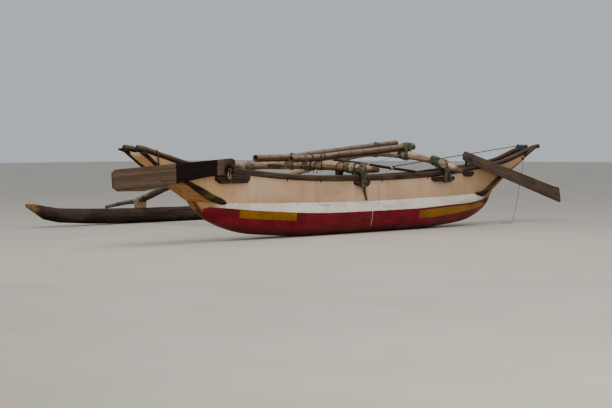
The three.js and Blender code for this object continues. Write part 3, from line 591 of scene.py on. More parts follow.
def wood_look(name, light, dark, grain_along="UV", fine=1.0, checks=0.6, patches=(), dust_and_top_light=None,
              roughness=0.85, depth=0.005, top_light_from=0.1, end=None):
    """Weathered wood. patches are (colour, size, low, high): soft-edged areas where noise is high.
    end is (axis, where it starts, where it is full, colour)."""
    made, place, uv = material(name, roughness, Specular_IOR_Level=0.12)
    axes = axes_of(place)
    along = {"UV": uv, "X": place}.get(grain_along) or put(
        place.tree, "ShaderNodeCombineXYZ", {0: axes[1], 1: axes[0], 2: axes[2]})
    grain = use(timber, Vector=along, Fine=fine, Checks=checks)
    colour = mixed(spread(grain["Tone"], 0.35, 0.62), dark, light)
    for shade, size, low, high in patches:
        spot = cloudy(along, 1.0, 5.0, 0.6, (size, size * 3.0, size * 3.0))
        colour = mixed(spread(spot, low, high), colour,
                       mixed(grain["Tone"], shaded(shade, 0.6), shade))
    # lighter on upward faces with dust and painted top light, darker on downward faces with painted
    # shade
    if dust_and_top_light:
        up = upward(place)
        colour = layered(colour, (spread(up, top_light_from, top_light_from + 0.8) * 0.55, dust_and_top_light),
                         (spread(up, 0.0, -0.8, 0.0, 0.55), shaded(dark, 0.3)))
    if end:
        axis, starts, full, shade = end
        ragged = axes[axis] + (cloudy(place, 9) - 0.5) * 0.14
        colour = mixed(spread(ragged, starts, full, 0.0, 0.85), colour, shade)
    return finish_look(made, mixed(grain["Check"] * 0.85, colour, shaded(dark, 0.18)),
                       grain["Height"], 0.55, depth)


stem_paint = wood_look("stem paint", rgb(160, 116, 68), rgb(128, 88, 50), "X", 1.0, 0.3,
                       [(rgb(120, 80, 42), 1.4, 0.56, 0.70)], roughness=0.8, depth=0.003)


def mirrored(x, half):
    """A ring from its right half, low to high, and the same to the left."""
    return in_metres(x, half) + in_metres(x, half[::-1], -1)


for name, (end, start, stop, underside, wide) in STEMS.items():
    rings = []
    for s in np.linspace(start, stop, 40):
        x = end * s
        zl = top_z(horn(x)) - 5 if s <= underside[0][0] else between(underside, s)
        zt, wl, wt = rake_z(x) - SEAT, between(wide, s), strake_low_w(x) - 4
        half = [(wl * 0.6, zl), (wl, zl + 0.06 * (zt - zl)), (wl + 0.72 * (wt - wl), (zl + zt) / 2),
                (wt, zt)]
        rings.append(mirrored(x, through(half)))
    stem = mesh_piece(f"stem_{name}", [rings], stem_paint, 35)
    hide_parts("stem_head_" + name)

# End boards: a plank on each raked end, let in between the washstrakes, painted yellow ochre and
# faded.
board_paint = wood_look("board paint", rgb(218, 172, 112), rgb(182, 132, 78), "X", 0.9, 0.4,
                        [(rgb(140, 104, 62), 2.0, 0.58, 0.68)], roughness=0.75, depth=0.003,
                        end=(0, -4.92, -4.975, rgb(232, 216, 194)))
for name, end, start, stop in (("left", -1, 3600, 4990), ("right", 1, 3450, 4850)):
    rings = []
    for x in end * np.linspace(start, stop, 36):
        w, z = min(strake_low_w(x), strake_top_w(x)) - STRAKE_T - 2 * SEAT, rake_z(x) + SEAT
        half = [(w * 0.5, z), (w - 2, z), (w, z + 3), (w, z + 26), (w - 3, z + 30),
                (w * 0.5, z + 29)]
        rings.append(mirrored(x, half))
    board = mesh_piece(f"board_{name}", [rings], board_paint, 35)
    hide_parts("end_board_" + name)

# Rails: a squared timber along the middle of each washstrake's edge, carried on at each end by an
# uneven round pole, all grey-brown and cracked.
rail_look = wood_look("rail wood", rgb(92, 74, 62), rgb(40, 30, 25), "UV", 1.0, 1.0,
                      [(rgb(60, 40, 28), 1.3, 0.52, 0.66)], dust_and_top_light=rgb(108, 92, 80))
RAIL_JOINTS = (-3300, 2450)
RAIL_HALF_W, RAIL_HALF_H = 0.037, 0.046
RAIL_TIPS = {"near": (-5050, 5120), "far": (-5100, 5050)}
rail_y = lambda x: strake_top_w(x) - STRAKE_T / 2
rail_z = lambda x: sheer_z(x) - RAIL_H / 2
knotty = lambda x: 42 + 2 * math.sin(x / 170)


def rough(where, seed, size):
    """Noise for a place on a surface, about -1 to 1."""
    return noise.noise(Vector(where) * size + Vector((seed * 7.3, seed * 3.1, -seed * 5.7)))


def squared(c, s, power):
    """How far out a square with worn corners lies in a direction."""
    return (abs(c) ** power + abs(s) ** power) ** (-1 / power)


def beam_ring(x, y, z, half_w, half_h, seed):
    """A squared timber's ring with worn corners, across X, in metres."""
    ring = []
    for c, s in round_points(24, 0.5):
        worn = squared(c, s, 7) * (1 + 0.03 * rough((x * 2, c, s), seed, 1.2))
        ring.append(Vector((x, y + half_w * c * worn * 0.985, z + half_h * s * worn * 0.985)))
    return ring


def pole_rings(rows, seed, step=0.045, sides=20, uneven=0.04, bend=0.004, joints=(), knots=0,
               core=0.0):
    """Rings of a natural pole through rows (x, y, z, radius). joints are the distances of a
    bamboo's rings, and core the share of the radius that is hollow at its ends."""
    length, at = curve([row[:3] for row in rows])
    chord = [0.0]
    for a, b in zip(rows, rows[1:]):
        chord.append(chord[-1] + (Vector(b[:3]) - Vector(a[:3])).length)
    chord = np.array(chord)
    chord *= length / chord[-1]
    lumps = [(random.uniform(0.05, 0.95) * length, random.uniform(0, 6.28),
              random.uniform(0.08, 0.16)) for _ in range(knots)]
    marks = set(np.linspace(0, length, max(3, round(length / step)) + 1).tolist())
    for joint in joints:
        marks |= {joint + d for d in (-0.03, -0.016, -0.009, -0.004, 0, 0.004, 0.009, 0.016, 0.03)
                  if 0 < joint + d < length}
    marks = sorted(marks)
    path = [at(m) for m in marks]
    rings, across = [], heading(path, 0).cross(Vector((0, 0, 1))).normalized()
    for k, (mark, here) in enumerate(zip(marks, path)):
        ahead = heading(path, k)
        across = (across - ahead * across.dot(ahead)).normalized()
        up = across.cross(ahead)
        radius = float(np.interp(mark, chord, [row[3] for row in rows]))
        middle = here + (across * rough((mark, 0, 0), seed, 1.4)
                         + up * rough((0, mark, 0), seed, 1.4)) * bend
        swell = sum(0.09 * math.exp(-((mark - j) / 0.006) ** 2)
                    - 0.035 * math.exp(-((mark - j - 0.02) / 0.012) ** 2) for j in joints)
        ring = []
        for i, (c, s) in enumerate(round_points(sides)):
            lump, angle = 0.0, 2 * math.pi * i / sides
            for m, turn, size in lumps:
                if abs(mark - m) < 0.15:
                    off = math.remainder(angle - turn, 2 * math.pi) / 0.5
                    lump += size * math.exp(-((mark - m) / 0.05) ** 2 - off ** 2)
            bark = (rough((mark * 2.2, c, s), seed, 1.3)
                    + 0.5 * rough((mark * 9, c * 2, s * 2), seed, 1.5))
            r = radius * (1 + swell + lump + uneven * bark)
            ring.append(middle + (across * c + up * s) * r)
        rings.append(ring)
    for last in (False, True):
        ring, behind = (rings[-1], rings[-2]) if last else (rings[0], rings[1])
        centre = sum(ring, Vector()) / sides
        if core:
            ahead = (behind[0] - ring[0]).normalized()
            bore = [centre + (p - centre) * core for p in ring]
            lip = [centre + (p - centre) * 0.97 - ahead * 0.004 for p in ring]
            added = [lip, bore, [p + ahead * 0.07 for p in bore]]
        else:
            out = (centre - sum(behind, Vector()) / sides).normalized()
            added = [[centre + (p - centre) * 0.9 + out * 0.006 for p in ring]]
        rings = rings + added if last else added[::-1] + rings
    return rings


random.seed(7)
for side_name, side in SIDES.items():
    rings = [beam_ring(x / 1000, side * rail_y(x) / 1000, rail_z(x) / 1000, RAIL_HALF_W,
                       RAIL_HALF_H, 3 + side) for x in np.linspace(*RAIL_JOINTS, 100)]
    rail = mesh_piece(f"rail_{side_name}", [rings], rail_look, 50)
    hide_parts("rail_middle_" + side_name)
    for end_name, start, stop in (("left", RAIL_TIPS[side_name][0], RAIL_JOINTS[0]),
                                  ("right", RAIL_JOINTS[1], RAIL_TIPS[side_name][1])):
        rows = [(x / 1000, side * rail_y(x) / 1000, (rail_low(x) + knotty(x)) / 1000,
                 knotty(x) / 1000) for x in np.linspace(start, stop, 24)]
        pole = mesh_piece(f"rail_pole_{end_name}_{side_name}",
                          [pole_rings(rows, 5 + side + start / 1000, knots=9)],
                          rail_look, 45)
        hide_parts(f"rail_{end_name}_{side_name}")

# Edge strips: a heavy rounded batten over the raked edge of each washstrake, near-black with old
# tar and worn olive-brown in patches, lighter on top with dust and painted top light and darker
# below with painted shade. The near one at the right end is broken. The tables hold [distance
# from amidships, low edge, high edge].
STRIP_LEFT = [[3345, 562, 588], [3390, 552, 630], [3540, 580, 692], [3700, 634, 764],
              [3900, 742, 850], [4100, 856, 926], [4200, 902, 968], [4500, 1035, 1105],
              [4740, 1142, 1212], [4860, 1222, 1294], [4984, 1302, 1376], [5060, 1352, 1404],
              [5152, 1372, 1410]]
STRIP_RIGHT = [[2950, 570, 586], [3060, 535, 600], [3180, 510, 614], [3300, 545, 654],
               [3450, 624, 734], [3650, 752, 834], [3820, 838, 922], [4000, 925, 1000],
               [4200, 1010, 1078], [4440, 1108, 1172], [4600, 1188, 1252], [4760, 1272, 1338],
               [4900, 1342, 1404], [5060, 1412, 1440]]
STRIP_OUT = [(4600, 0), (4760, 10), (4900, 22), (5060, 26)]
strip_look = wood_look("strip wood", rgb(56, 43, 30), rgb(18, 13, 11), "X", 1.0, 0.8,
                       [(rgb(98, 80, 50), 1.6, 0.5, 0.6)], dust_and_top_light=rgb(112, 94, 66))


def strip_edges(table):
    """A strip's low and high edge as functions."""
    return eased([row[:2] for row in table]), eased([[row[0], row[2]] for row in table])


def strip_rings(end, side, table, start, stop, seed):
    low, top = strip_edges(table)
    rings = []
    for s in np.linspace(start, stop, max(8, round((stop - start) / 35))):
        x, y, out = end * s, strake_low_w(end * s), between(STRIP_OUT, s)
        inner, outer = min(y, strake_top_w(x)) - 6 + out, y + 36 + out
        zl, zt, ring = low(s), top(s), []
        broken = 0.7 if s in (start, stop) else 1.0
        for c, v in round_points(18):
            worn = squared(c, v, 3) * (0.97 + 0.06 * rough((s / 150, c, v), seed, 1.0))
            ring.append(Vector((x, side * ((inner + outer) / 2 + (outer - inner) / 2 * c * worn),
                                (zl + zt) / 2 + (zt - zl) / 2 * v * worn * broken)) / 1000)
        rings.append(ring)
    return rings


# end of the boat, side, table of edges, and where each starts and stops
STRIPS = {
    "left_near": (-1, -1, STRIP_LEFT, 3345, 5060), "left_far": (-1, 1, STRIP_LEFT, 3345, 5152),
    "right_near": (1, -1, STRIP_RIGHT, 2950, 4000), "right_tip": (1, -1, STRIP_RIGHT, 4520, 5060),
    "right_far": (1, 1, STRIP_RIGHT, 2950, 5060)}
for name, (end, side, table, start, stop) in STRIPS.items():
    strip = mesh_piece("strip_" + name,
                       [strip_rings(end, side, table, start, stop, start / 900 + side)],
                       strip_look, 50)
    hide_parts("edge_strip_" + name)

# Nails and stitches: iron nails through the rails and edge strips, and coir stitches that sew each
# washstrake to the log, painted over and worn.
setting = bpy.data.node_groups.new("set along lines", "GeometryNodeTree")
INPUTS = {"Lines": "Geometry", "Shape": "Object", "Spacing": "Float", "Uneven": "Float",
          "Seed": "Int", "Look": "Material"}
inlets = {label: setting.interface.new_socket(label, in_out="INPUT",
                                              socket_type="NodeSocket" + kind).identifier
          for label, kind in INPUTS.items()}
setting.interface.new_socket("Set", in_out="OUTPUT", socket_type="NodeSocketGeometry")
given_node, result = setting.nodes.new("NodeGroupInput"), setting.nodes.new("NodeGroupOutput")
given = {label: Value(setting, given_node.outputs[label]) for label in INPUTS}
bare_line = put(setting, "GeometryNodeMeshToCurve", {"Mesh": given["Lines"]})
marks = put(setting, "GeometryNodeResampleCurve", {"Curve": bare_line, "Length": given["Spacing"]},
            mode="LENGTH")
outward = put(setting, "GeometryNodeInputNamedAttribute", {"Name": "out"}, data_type="FLOAT_VECTOR")
faced = put(setting, "FunctionNodeAlignRotationToVector", {"Vector": outward}, axis="Z")
laid = put(setting, "FunctionNodeAlignRotationToVector",
           {"Rotation": faced, "Vector": put(setting, "GeometryNodeInputTangent")}, axis="X",
           pivot_axis="Z")
chance = put(setting, "FunctionNodeRandomValue",
             {2: given["Uneven"] * -1.0, 3: given["Uneven"], "Seed": given["Seed"]}, 1,
             data_type="FLOAT")
twist = put(setting, "FunctionNodeAxisAngleToRotation", {"Axis": (0, 0, 1), "Angle": chance})
turned = put(setting, "FunctionNodeRotateRotation", {"Rotation": laid, "Rotate By": twist},
             rotation_space="LOCAL")
shape = put(setting, "GeometryNodeObjectInfo", {"Object": given["Shape"]}, "Geometry",
            transform_space="ORIGINAL")
copies = put(setting, "GeometryNodeInstanceOnPoints",
             {"Points": marks, "Instance": shape, "Rotation": turned, "Scale": chance + 1.0})
whole = put(setting, "GeometryNodeRealizeInstances", {0: copies})
looked = put(setting, "GeometryNodeSetMaterial", {"Geometry": whole, "Material": given["Look"]})
setting.links.new(looked.socket, result.inputs[0])


def small_shape(name, rings):
    """A closed shape from rings, low to high, for setting along lines."""
    n, faces = len(rings[0]), []
    for r in range(len(rings) - 1):
        faces.extend((r * n + i, r * n + (i + 1) % n, (r + 1) * n + (i + 1) % n, (r + 1) * n + i)
                     for i in range(n))
    faces.extend([list(range(n))[::-1], list(range((len(rings) - 1) * n, len(rings) * n))])
    mesh = bpy.data.meshes.new(name)
    mesh.from_pydata([tuple(p) for ring in rings for p in ring], [], faces)
    mesh.shade_smooth()
    facing_out(mesh)
    return placed(name, mesh)


def as_modified(piece):
    """Swaps a piece's mesh for the one its modifiers make of it, and gives that mesh."""
    bpy.context.view_layer.update()
    graph = bpy.context.evaluated_depsgraph_get()
    made = bpy.data.meshes.new_from_object(piece.evaluated_get(graph))
    piece.modifiers.clear()
    piece.data = made
    made.name = piece.name
    return made


def set_along(name, lines, shape, spacing, uneven, seed, look):
    """Copies of a shape along lines of (place, outward direction), as one plain mesh."""
    joins, start = [], 0
    for line in lines:
        joins.extend((start + k, start + k + 1) for k in range(len(line) - 1))
        start += len(line)
    mesh = bpy.data.meshes.new(name)
    mesh.from_pydata([place for line in lines for place, out in line], joins, [])
    mesh.attributes.new("out", "FLOAT_VECTOR", "POINT").data.foreach_set(
        "vector", [c for line in lines for place, out in line for c in out])
    piece = placed(name, mesh)
    setter = piece.modifiers.new("set along", "NODES")
    setter.node_group = setting
    for label, value in (("Shape", shape), ("Spacing", spacing), ("Uneven", uneven), ("Seed", seed),
                         ("Look", look)):
        setter[inlets[label]] = value
    as_modified(piece)
    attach(piece, "canoe")


# rings as (half width, height) for the nail and (place along it, half width) for the stitch
NAIL = ((0.007, -0.003), (0.0075, 0.0008), (0.006, 0.0022), (0.003, 0.003))
STITCH = ((-0.019, 0.0015), (-0.013, 0.0045), (0, 0.0055), (0.013, 0.0045), (0.019, 0.0015))
nail_head = small_shape("nail head",
                        [[(r * c, r * s, z) for c, s in round_points(8)] for r, z in NAIL])
stitch = small_shape("stitch", [[(wide * c, y, wide * 0.4 * s) for c, s in round_points(6)]
                                for y, wide in STITCH])
iron = wood_look("nail iron", rgb(74, 48, 34), rgb(34, 24, 20), "X", 8.0, 0.0)
NAIL_SPACING, STITCH_SPACING = 0.31, 0.105
nail_lines, seams = [], []
for side in SIDES.values():
    nail_lines.append([((x, side * (rail_y(x * 1000) / 1000 + 0.0372), rail_z(x * 1000) / 1000),
                        (0, side, 0)) for x in np.linspace(-3.2, 2.4, 40)])
    seams.append([((x, side * (strake_low_w(x * 1000) / 1000 + 0.003),
                    top_z(horn(x * 1000)) / 1000 + 0.001), (0, side, 0.26))
                  for x in np.linspace(-3.3, 3.15, 60)])
for end, side, table, start, stop in STRIPS.values():
    low, top = strip_edges(table)
    nail_lines.append([((end * s / 1000,
                         side * (strake_low_w(end * s) + 35 + between(STRIP_OUT, s)) / 1000,
                         (low(s) + top(s)) / 2000), (0, side, 0))
                       for s in np.linspace(start + 120, stop - 90, 20)])
set_along("nails", nail_lines, nail_head, NAIL_SPACING, 0.12, 7, iron)
set_along("stitches", seams, stitch, STITCH_SPACING, 0.18, 8, strake_paint)
for helper in (nail_head, stitch):
    bpy.data.objects.remove(helper)

# Thwarts: four planks across the hull, wedged between the washstrakes, worn pale by feet and
# nets. They keep the plain shapes of their solids, with worn edges.


def softened(name, nodes, look, edge=0.007, body="canoe"):
    """The solids of some CAD nodes as one piece with worn edges."""
    build = bpy.data.meshes.new(name)
    corners, faces = [], []
    for node in nodes:
        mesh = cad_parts[node].data
        start = len(corners)
        corners.extend(tuple(v.co) for v in mesh.vertices)
        faces.extend([start + k for k in f.vertices] for f in mesh.polygons)
    build.from_pydata(corners, [], faces)
    piece = placed(name, build)
    piece.modifiers.new("weld", "WELD").merge_threshold = 0.00005
    flat = piece.modifiers.new("flat", "DECIMATE")
    flat.decimate_type, flat.angle_limit = "DISSOLVE", math.radians(2)
    bevel = piece.modifiers.new("bevel", "BEVEL")
    bevel.width, bevel.segments = edge, 3
    bevel.limit_method, bevel.angle_limit = "ANGLE", math.radians(25)
    bevel.use_clamp_overlap = True
    piece.modifiers.new("facets", "TRIANGULATE")
    made = as_modified(piece)
    bpy.data.meshes.remove(build)
    made.materials.clear()
    made.materials.append(look)
    made.polygons.foreach_set("material_index", [0] * len(made.polygons))
    made.shade_smooth()
    made.set_sharp_from_angle(angle=math.radians(40))
    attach(piece, body)
    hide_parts(*nodes)
    return piece


thwart_look = wood_look("thwart wood", rgb(150, 122, 94), rgb(104, 82, 62), "Y", 1.0, 0.7,
                        [(rgb(80, 62, 48), 2.0, 0.56, 0.68)])
softened("thwarts", [f"thwart_{k}" for k in range(1, 5)], thwart_look)

# Cleats and saddles: split billets lashed under the rail's outer edge for the ropes to haul on,
# and blocks that stand on the rails and carry the booms.
block_look = wood_look("block wood", rgb(72, 57, 48), rgb(32, 24, 21), "X", 1.2, 1.0,
                       [(rgb(70, 50, 38), 3.0, 0.55, 0.66)], dust_and_top_light=rgb(96, 80, 68))
softened("cleats", ["cleat_" + place for place in (
    "paddle_left", "boom_left_near", "boom_right_near", "paddle_right", "boom_left_far",
    "boom_right_far")], block_look, 0.009)
softened("saddles", ["saddle_left_near", "saddle_left_far", "saddle_right_near"],
         block_look, 0.009)

# Booms: barked trunks laid on the saddles, pale tan with brown bark left on and knots. The left
# one is straight and ends over the water side; the right one is a grown arch in one piece. The
# tables hold (y, height, radius), in metres.
BOOM_LEFT = [(-0.620, 1.038, 0.044), (-0.420, 1.045, 0.060), (-0.235, 1.053, 0.070),
             (0, 1.074, 0.074), (0.235, 1.089, 0.075), (0.620, 1.103, 0.076), (1.300, 1.105, 0.075),
             (2.000, 1.093, 0.072), (2.700, 1.060, 0.066), (3.300, 1.000, 0.058)]
BOOM_RIGHT = [(-0.660, 0.975, 0.038), (-0.420, 1.062, 0.058), (-0.229, 1.122, 0.064),
              (0, 1.180, 0.068), (0.229, 1.218, 0.070), (0.620, 1.262, 0.072),
              (0.950, 1.290, 0.072), (1.300, 1.298, 0.071), (1.700, 1.268, 0.069),
              (2.300, 1.162, 0.066), (3.000, 0.990, 0.062), (3.600, 0.845, 0.058),
              (4.300, 0.660, 0.054), (4.850, 0.492, 0.050), (5.200, 0.404, 0.048),
              (5.660, 0.345, 0.042), (6.100, 0.282, 0.034)]
boom_left_x = lambda y: -0.285 + 0.022 * (y + 0.25)
boom_right_x = lambda y: 1.955 + 0.026 * (y + 0.25)
random.seed(11)
BARK = [(rgb(84, 56, 38), 1.5, 0.50, 0.57), (rgb(150, 106, 64), 2.4, 0.56, 0.66)]
left_boom_look = wood_look("left boom wood", rgb(176, 142, 112), rgb(104, 78, 56), "UV", 1.0, 0.7,
                           BARK, dust_and_top_light=rgb(204, 184, 166), top_light_from=0.0,
                           end=(1, -0.42, -0.58, rgb(62, 44, 36)))
right_boom_look = wood_look("right boom wood", rgb(196, 164, 138), rgb(140, 108, 84), "UV", 1.0,
                            0.5, [(rgb(118, 80, 58), 1.2, 0.54, 0.62)], dust_and_top_light=rgb(216, 194, 176),
                            top_light_from=0.0, end=(1, -0.47, -0.60, rgb(70, 50, 42)))
trunk = pole_rings([(boom_left_x(y), y, z, r) for y, z, r in BOOM_LEFT], 21, step=0.035, sides=28,
                   uneven=0.05, knots=14)
boom_left = mesh_piece("left_boom_trunk", [trunk], left_boom_look, 50)
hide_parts("boom_left_inner")
trunk = pole_rings([(boom_right_x(y), y, z, r) for y, z, r in BOOM_RIGHT], 22, step=0.04, sides=28,
                   uneven=0.045, knots=18)
boom_right = mesh_piece("right_boom_trunk", [trunk], right_boom_look, 50)
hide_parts("boom_right")

# Outer poles: two bamboos, weathered grey, lashed on both sides of the left boom, that bend down
# to the float. The table holds (y, height, radius), in metres.
OUTER = [(2.150, 1.086, 0.050), (2.700, 1.046, 0.052), (3.300, 0.955, 0.054), (3.900, 0.828, 0.053),
         (4.450, 0.682, 0.052), (4.810, 0.560, 0.050), (5.200, 0.424, 0.048), (5.450, 0.385, 0.044),
         (5.660, 0.358, 0.042), (6.150, 0.272, 0.030)]


def outer_x(y, r, side):
    """Where an outer pole's middle lies: against the left boom, then closer to its line."""
    inner = between(BOOM_LEFT, y, 2)
    if y > BOOM_LEFT[-1][0]:
        inner = max(0.003, 0.058 - 0.042 * (y - 3.3))
    return boom_left_x(y) + side * ((inner + r) * math.cos(math.pi / 10) + SEAT / 1000)


def bamboo_look(name, light, dark, silver_and_top_light):
    made, place, uv = material(name, 0.66, Specular_IOR_Level=0.2)
    grain = use(timber, Vector=uv, Fine=1.3, Checks=0.7)
    ring, up = attribute(place, "joint"), upward(place)
    blotch = cloudy(uv, 1.0, 5.0, 0.65, (1.2, 5.0, 1.0))
    colour = layered(mixed(spread(grain["Tone"], 0.35, 0.62), dark, light),
                     (spread(blotch, 0.52, 0.62), shaded(dark, 0.45)),
                     (grain["Check"] * 0.8, rgb(30, 24, 20)),
                     # silvered weathering with painted top light on upward faces, and painted shade
                     # on downward faces
                     (spread(up, 0.0, 0.9, 0.0, 0.65), silver_and_top_light),
                     (spread(up, 0.1, -0.7, 0.0, 0.6), shaded(dark, 0.35)),
                     (spread(ring, 0.05, 0.35) * 0.6, rgb(38, 28, 22)),
                     (spread(ring, 0.70, 0.90) * 0.45, light))
    return finish_look(made, colour, grain["Height"], 0.4, 0.003)


def bamboo(name, node, rows, seed, look, core=0.62):
    """A bamboo with a ring every 0.26 to 0.42 m, shaded dark at each."""
    random.seed(seed)
    length = curve([row[:3] for row in rows])[0]
    joints, mark = [], random.uniform(0.1, 0.3)
    while mark < length - 0.05:
        joints.append(mark)
        mark += random.uniform(0.26, 0.42)
    rings = pole_rings(rows, seed, step=0.05, sides=22, uneven=0.025, bend=0.003, joints=joints,
                       core=core)
    start = sum(rings[3], Vector()) / len(rings[3])
    shade = []
    for ring in rings:
        away = (sum(ring, Vector()) / len(ring) - start).length
        shade.extend([max(0.0, 1 - min(abs(away - j) for j in joints) / 0.018)] * len(ring))
    inner, outer = 3 * len(rings[0]), 2 * len(rings[0])
    shade[:inner], shade[-outer:] = [0.9] * inner, [0.9] * outer
    piece = mesh_piece(name, [rings], look, 50, {"joint": shade})
    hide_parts(node)


grey_bamboo = bamboo_look("grey bamboo", rgb(134, 116, 98), rgb(78, 62, 50), rgb(176, 164, 150))
for letter, side, rows in (("a", -1, OUTER), ("b", 1, OUTER[:8])):
    bamboo(f"outer_pole_{letter}", f"boom_left_outer_{letter}",
           [(outer_x(y, r, side), y, z, r) for y, z, r in rows], 31 + side, grey_bamboo,
           0.0 if letter == "a" else 0.62)

# Float: a hewn log pointed at both ends, near-black, darker below with painted shade and greyer on
# top with weathering and painted top light, with a block under each boom. The table holds (x, half
# width, low, high), in millimetres.
FLOAT = [(-2840, 26, 372, 432), (-2700, 52, 290, 428), (-2430, 98, 140, 372), (-2100, 122, 76, 330),
         (-1600, 134, 40, 308), (-1000, 140, 16, 292), (-300, 142, 0, 276), (900, 144, 0, 272),
         (2100, 142, 0, 276), (2900, 138, 18, 290), (3500, 130, 44, 310), (4000, 118, 84, 334),
         (4330, 94, 150, 376), (4590, 50, 296, 430), (4720, 26, 374, 434)]
FLOAT_Y = 5.2
float_look = wood_look("float wood", rgb(64, 48, 38), rgb(12, 7, 4), "X", 1.1, 1.0,
                       [(rgb(76, 60, 50), 1.2, 0.52, 0.62)], dust_and_top_light=rgb(84, 69, 60), depth=0.010,
                       top_light_from=-0.25, end=(0, -2.56, -2.72, rgb(138, 106, 70)))
float_rings = []
for x in np.linspace(FLOAT[0][0], FLOAT[-1][0], 130):
    w, low, top = (between(FLOAT, x, column) for column in (1, 2, 3))
    h = top - low
    ring = mirrored(x, through([(0.42 * w, low), (0.88 * w, low + 0.2 * h), (w, low + 0.52 * h),
                                (0.86 * w, low + 0.84 * h), (0.4 * w, top)]))
    for p in ring:
        hewn = 0.985 + 0.03 * rough((p.x, p.y * 6, p.z * 6), 41, 2.0)
        dent = 0.006 * rough((p.x, p.y * 4, p.z * 4), 42, 2.4) * min(1, p.z / 0.05)
        p.yz = FLOAT_Y + p.y * hewn, p.z + dent
    float_rings.append(ring)
float_log = mesh_piece("float_trunk", [float_rings], float_look, 50)
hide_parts("float_log")
softened("float_blocks", ["float_block_left", "float_block_right"],
         wood_look("float block wood", rgb(176, 144, 108), rgb(110, 84, 62), "Y", 1.2, 0.9), 0.008)

# Masts and spar: two bamboo masts laid across the booms, grey-brown with dark rings and open ends,
# and a thin pole from the left boom down to the near rail. Each mast has its y, its ends' x, their
# radii, and how far its left end bends up.
MASTS = {"near": (0.620, -1.010, 2.220, 0.058, 0.062, 0.026),
         "far": (1.300, -1.140, 2.590, 0.062, 0.055, 0.058)}
SPAR_R, SPAR_THIN_R = 0.023, 0.016
SPAR_X, SPAR_Y = (-0.460, 1.200), (0.130, -0.214)
RESTING = 0.0006
mast_bamboo = bamboo_look("mast bamboo", rgb(116, 90, 68), rgb(60, 42, 30), rgb(168, 148, 134))


def on_top(rows, y, radius):
    """The height of a pole's middle where it rests on a boom."""
    return between(rows, y) + between(rows, y, 2) + radius + RESTING


def mast_at(name, x):
    """A mast's height and radius at x: it rests on both booms, and its left end bends up."""
    y, x0, x1, r0, r1, lift = MASTS[name]
    radius = lambda s: r0 + (r1 - r0) * (s - x0) / (x1 - x0)
    xa, xb = boom_left_x(y), boom_right_x(y)
    za, zb = on_top(BOOM_LEFT, y, radius(xa)), on_top(BOOM_RIGHT, y, radius(xb))
    bend = lift * max(0.0, (xa - 0.12 - x) / (xa - 0.12 - x0))
    return za + (zb - za) * (x - xa) / (xb - xa) + bend, radius(x)


for name, (y, x0, x1, *_) in MASTS.items():
    rows = [(x, y, *mast_at(name, x)) for x in (x0, boom_left_x(y) - 0.12, 0.5, 1.2, x1)]
    bamboo(f"mast_pole_{name}", "mast_" + name, rows, 51 if name == "near" else 52, mast_bamboo)


def spar_at(x):
    """The thin pole's centre and radius at x."""
    xa, za = boom_left_x(SPAR_Y[0]), on_top(BOOM_LEFT, SPAR_Y[0], SPAR_R)
    zb, t = sheer_z(SPAR_X[1] * 1000) / 1000 + SPAR_R + RESTING, (x - xa) / (SPAR_X[1] - xa)
    y = SPAR_Y[0] + (SPAR_Y[1] - SPAR_Y[0]) * t
    return x, y, za + (zb - za) * t, SPAR_THIN_R if x < xa else SPAR_R


spar_rows = [spar_at(x) for x in (SPAR_X[0], boom_left_x(SPAR_Y[0]), 0.5, SPAR_X[1])]
spar_look = wood_look("spar wood", rgb(62, 46, 38), rgb(28, 20, 17), "UV", 1.2, 0.8)
spar = mesh_piece("spar_pole", [pole_rings(spar_rows, 61, sides=14, knots=4)],
                  spar_look, 50)
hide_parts("thin_spar")

# Lashings: coir and faded nylon rope, wound by hand round the crossings of booms, rails, cleats,
# masts and float blocks, each turn pulled tight on what it holds.
green_rope = rope_material("green rope", rgb(108, 106, 58), rgb(36, 37, 22))
nylon_rope = rope_material("nylon rope", rgb(76, 100, 70), rgb(30, 50, 36))
cream_rope = rope_material("cream rope", rgb(186, 172, 140), rgb(120, 104, 78))
blue_rope = rope_material("blue rope", rgb(30, 56, 84), rgb(18, 32, 52))


def edges_near(names, place, reach):
    """The ends of the edges of some pieces that pass within reach of a place."""
    found = []
    for name in names:
        mesh = bpy.data.objects[name].data
        corners = np.empty(len(mesh.vertices) * 3, np.float32)
        mesh.vertices.foreach_get("co", corners)
        pairs = np.empty(len(mesh.edges) * 2, np.int32)
        mesh.edges.foreach_get("vertices", pairs)
        ends = corners.reshape(-1, 3)[pairs.reshape(-1, 2)].astype(float)
        run = ends[:, 1] - ends[:, 0]
        share = ((place - ends[:, 0]) * run).sum(axis=1)
        share /= np.maximum((run * run).sum(axis=1), 1e-12)
        nearest = ends[:, 0] + run * np.clip(share, 0, 1)[:, None]
        found.append(ends[np.linalg.norm(nearest - place, axis=1) < reach])
    return np.concatenate(found)


def turn_at(ends, centre, along, radius, reach):
    """One tight turn of rope, a closed line: the hull of what a plane cuts, a radius out."""
    across = Vector((0, 0, 1)).cross(along).normalized()
    up = along.cross(across)
    side = (ends - np.array(centre)) @ np.array(along)
    cut = side[:, 0] * side[:, 1] < 0
    share = side[cut, 0] / (side[cut, 0] - side[cut, 1])
    hits = ends[cut, 0] + (ends[cut, 1] - ends[cut, 0]) * share[:, None] - np.array(centre)
    hits = hits[np.linalg.norm(hits, axis=1) < reach]
    flat = np.stack([hits @ np.array(across), hits @ np.array(up)], axis=1)
    angles = np.linspace(0, 2 * math.pi, 12, endpoint=False)
    round_it = np.array([(math.cos(a), math.sin(a)) for a in angles])
    grown = (flat[:, None] + radius * round_it).reshape(-1, 2)
    hull = grown[geometry.convex_hull_2d([tuple(p) for p in grown])]
    hull = np.roll(hull, -int(hull[:, 1].argmax()), axis=0)
    hull = np.concatenate([hull, hull[:1]])
    run = np.concatenate([[0], np.cumsum(np.linalg.norm(np.diff(hull, axis=0), axis=1))])
    return lambda share: (centre + across * float(np.interp(share * run[-1], run, hull[:, 0]))
                          + up * float(np.interp(share * run[-1], run, hull[:, 1])))


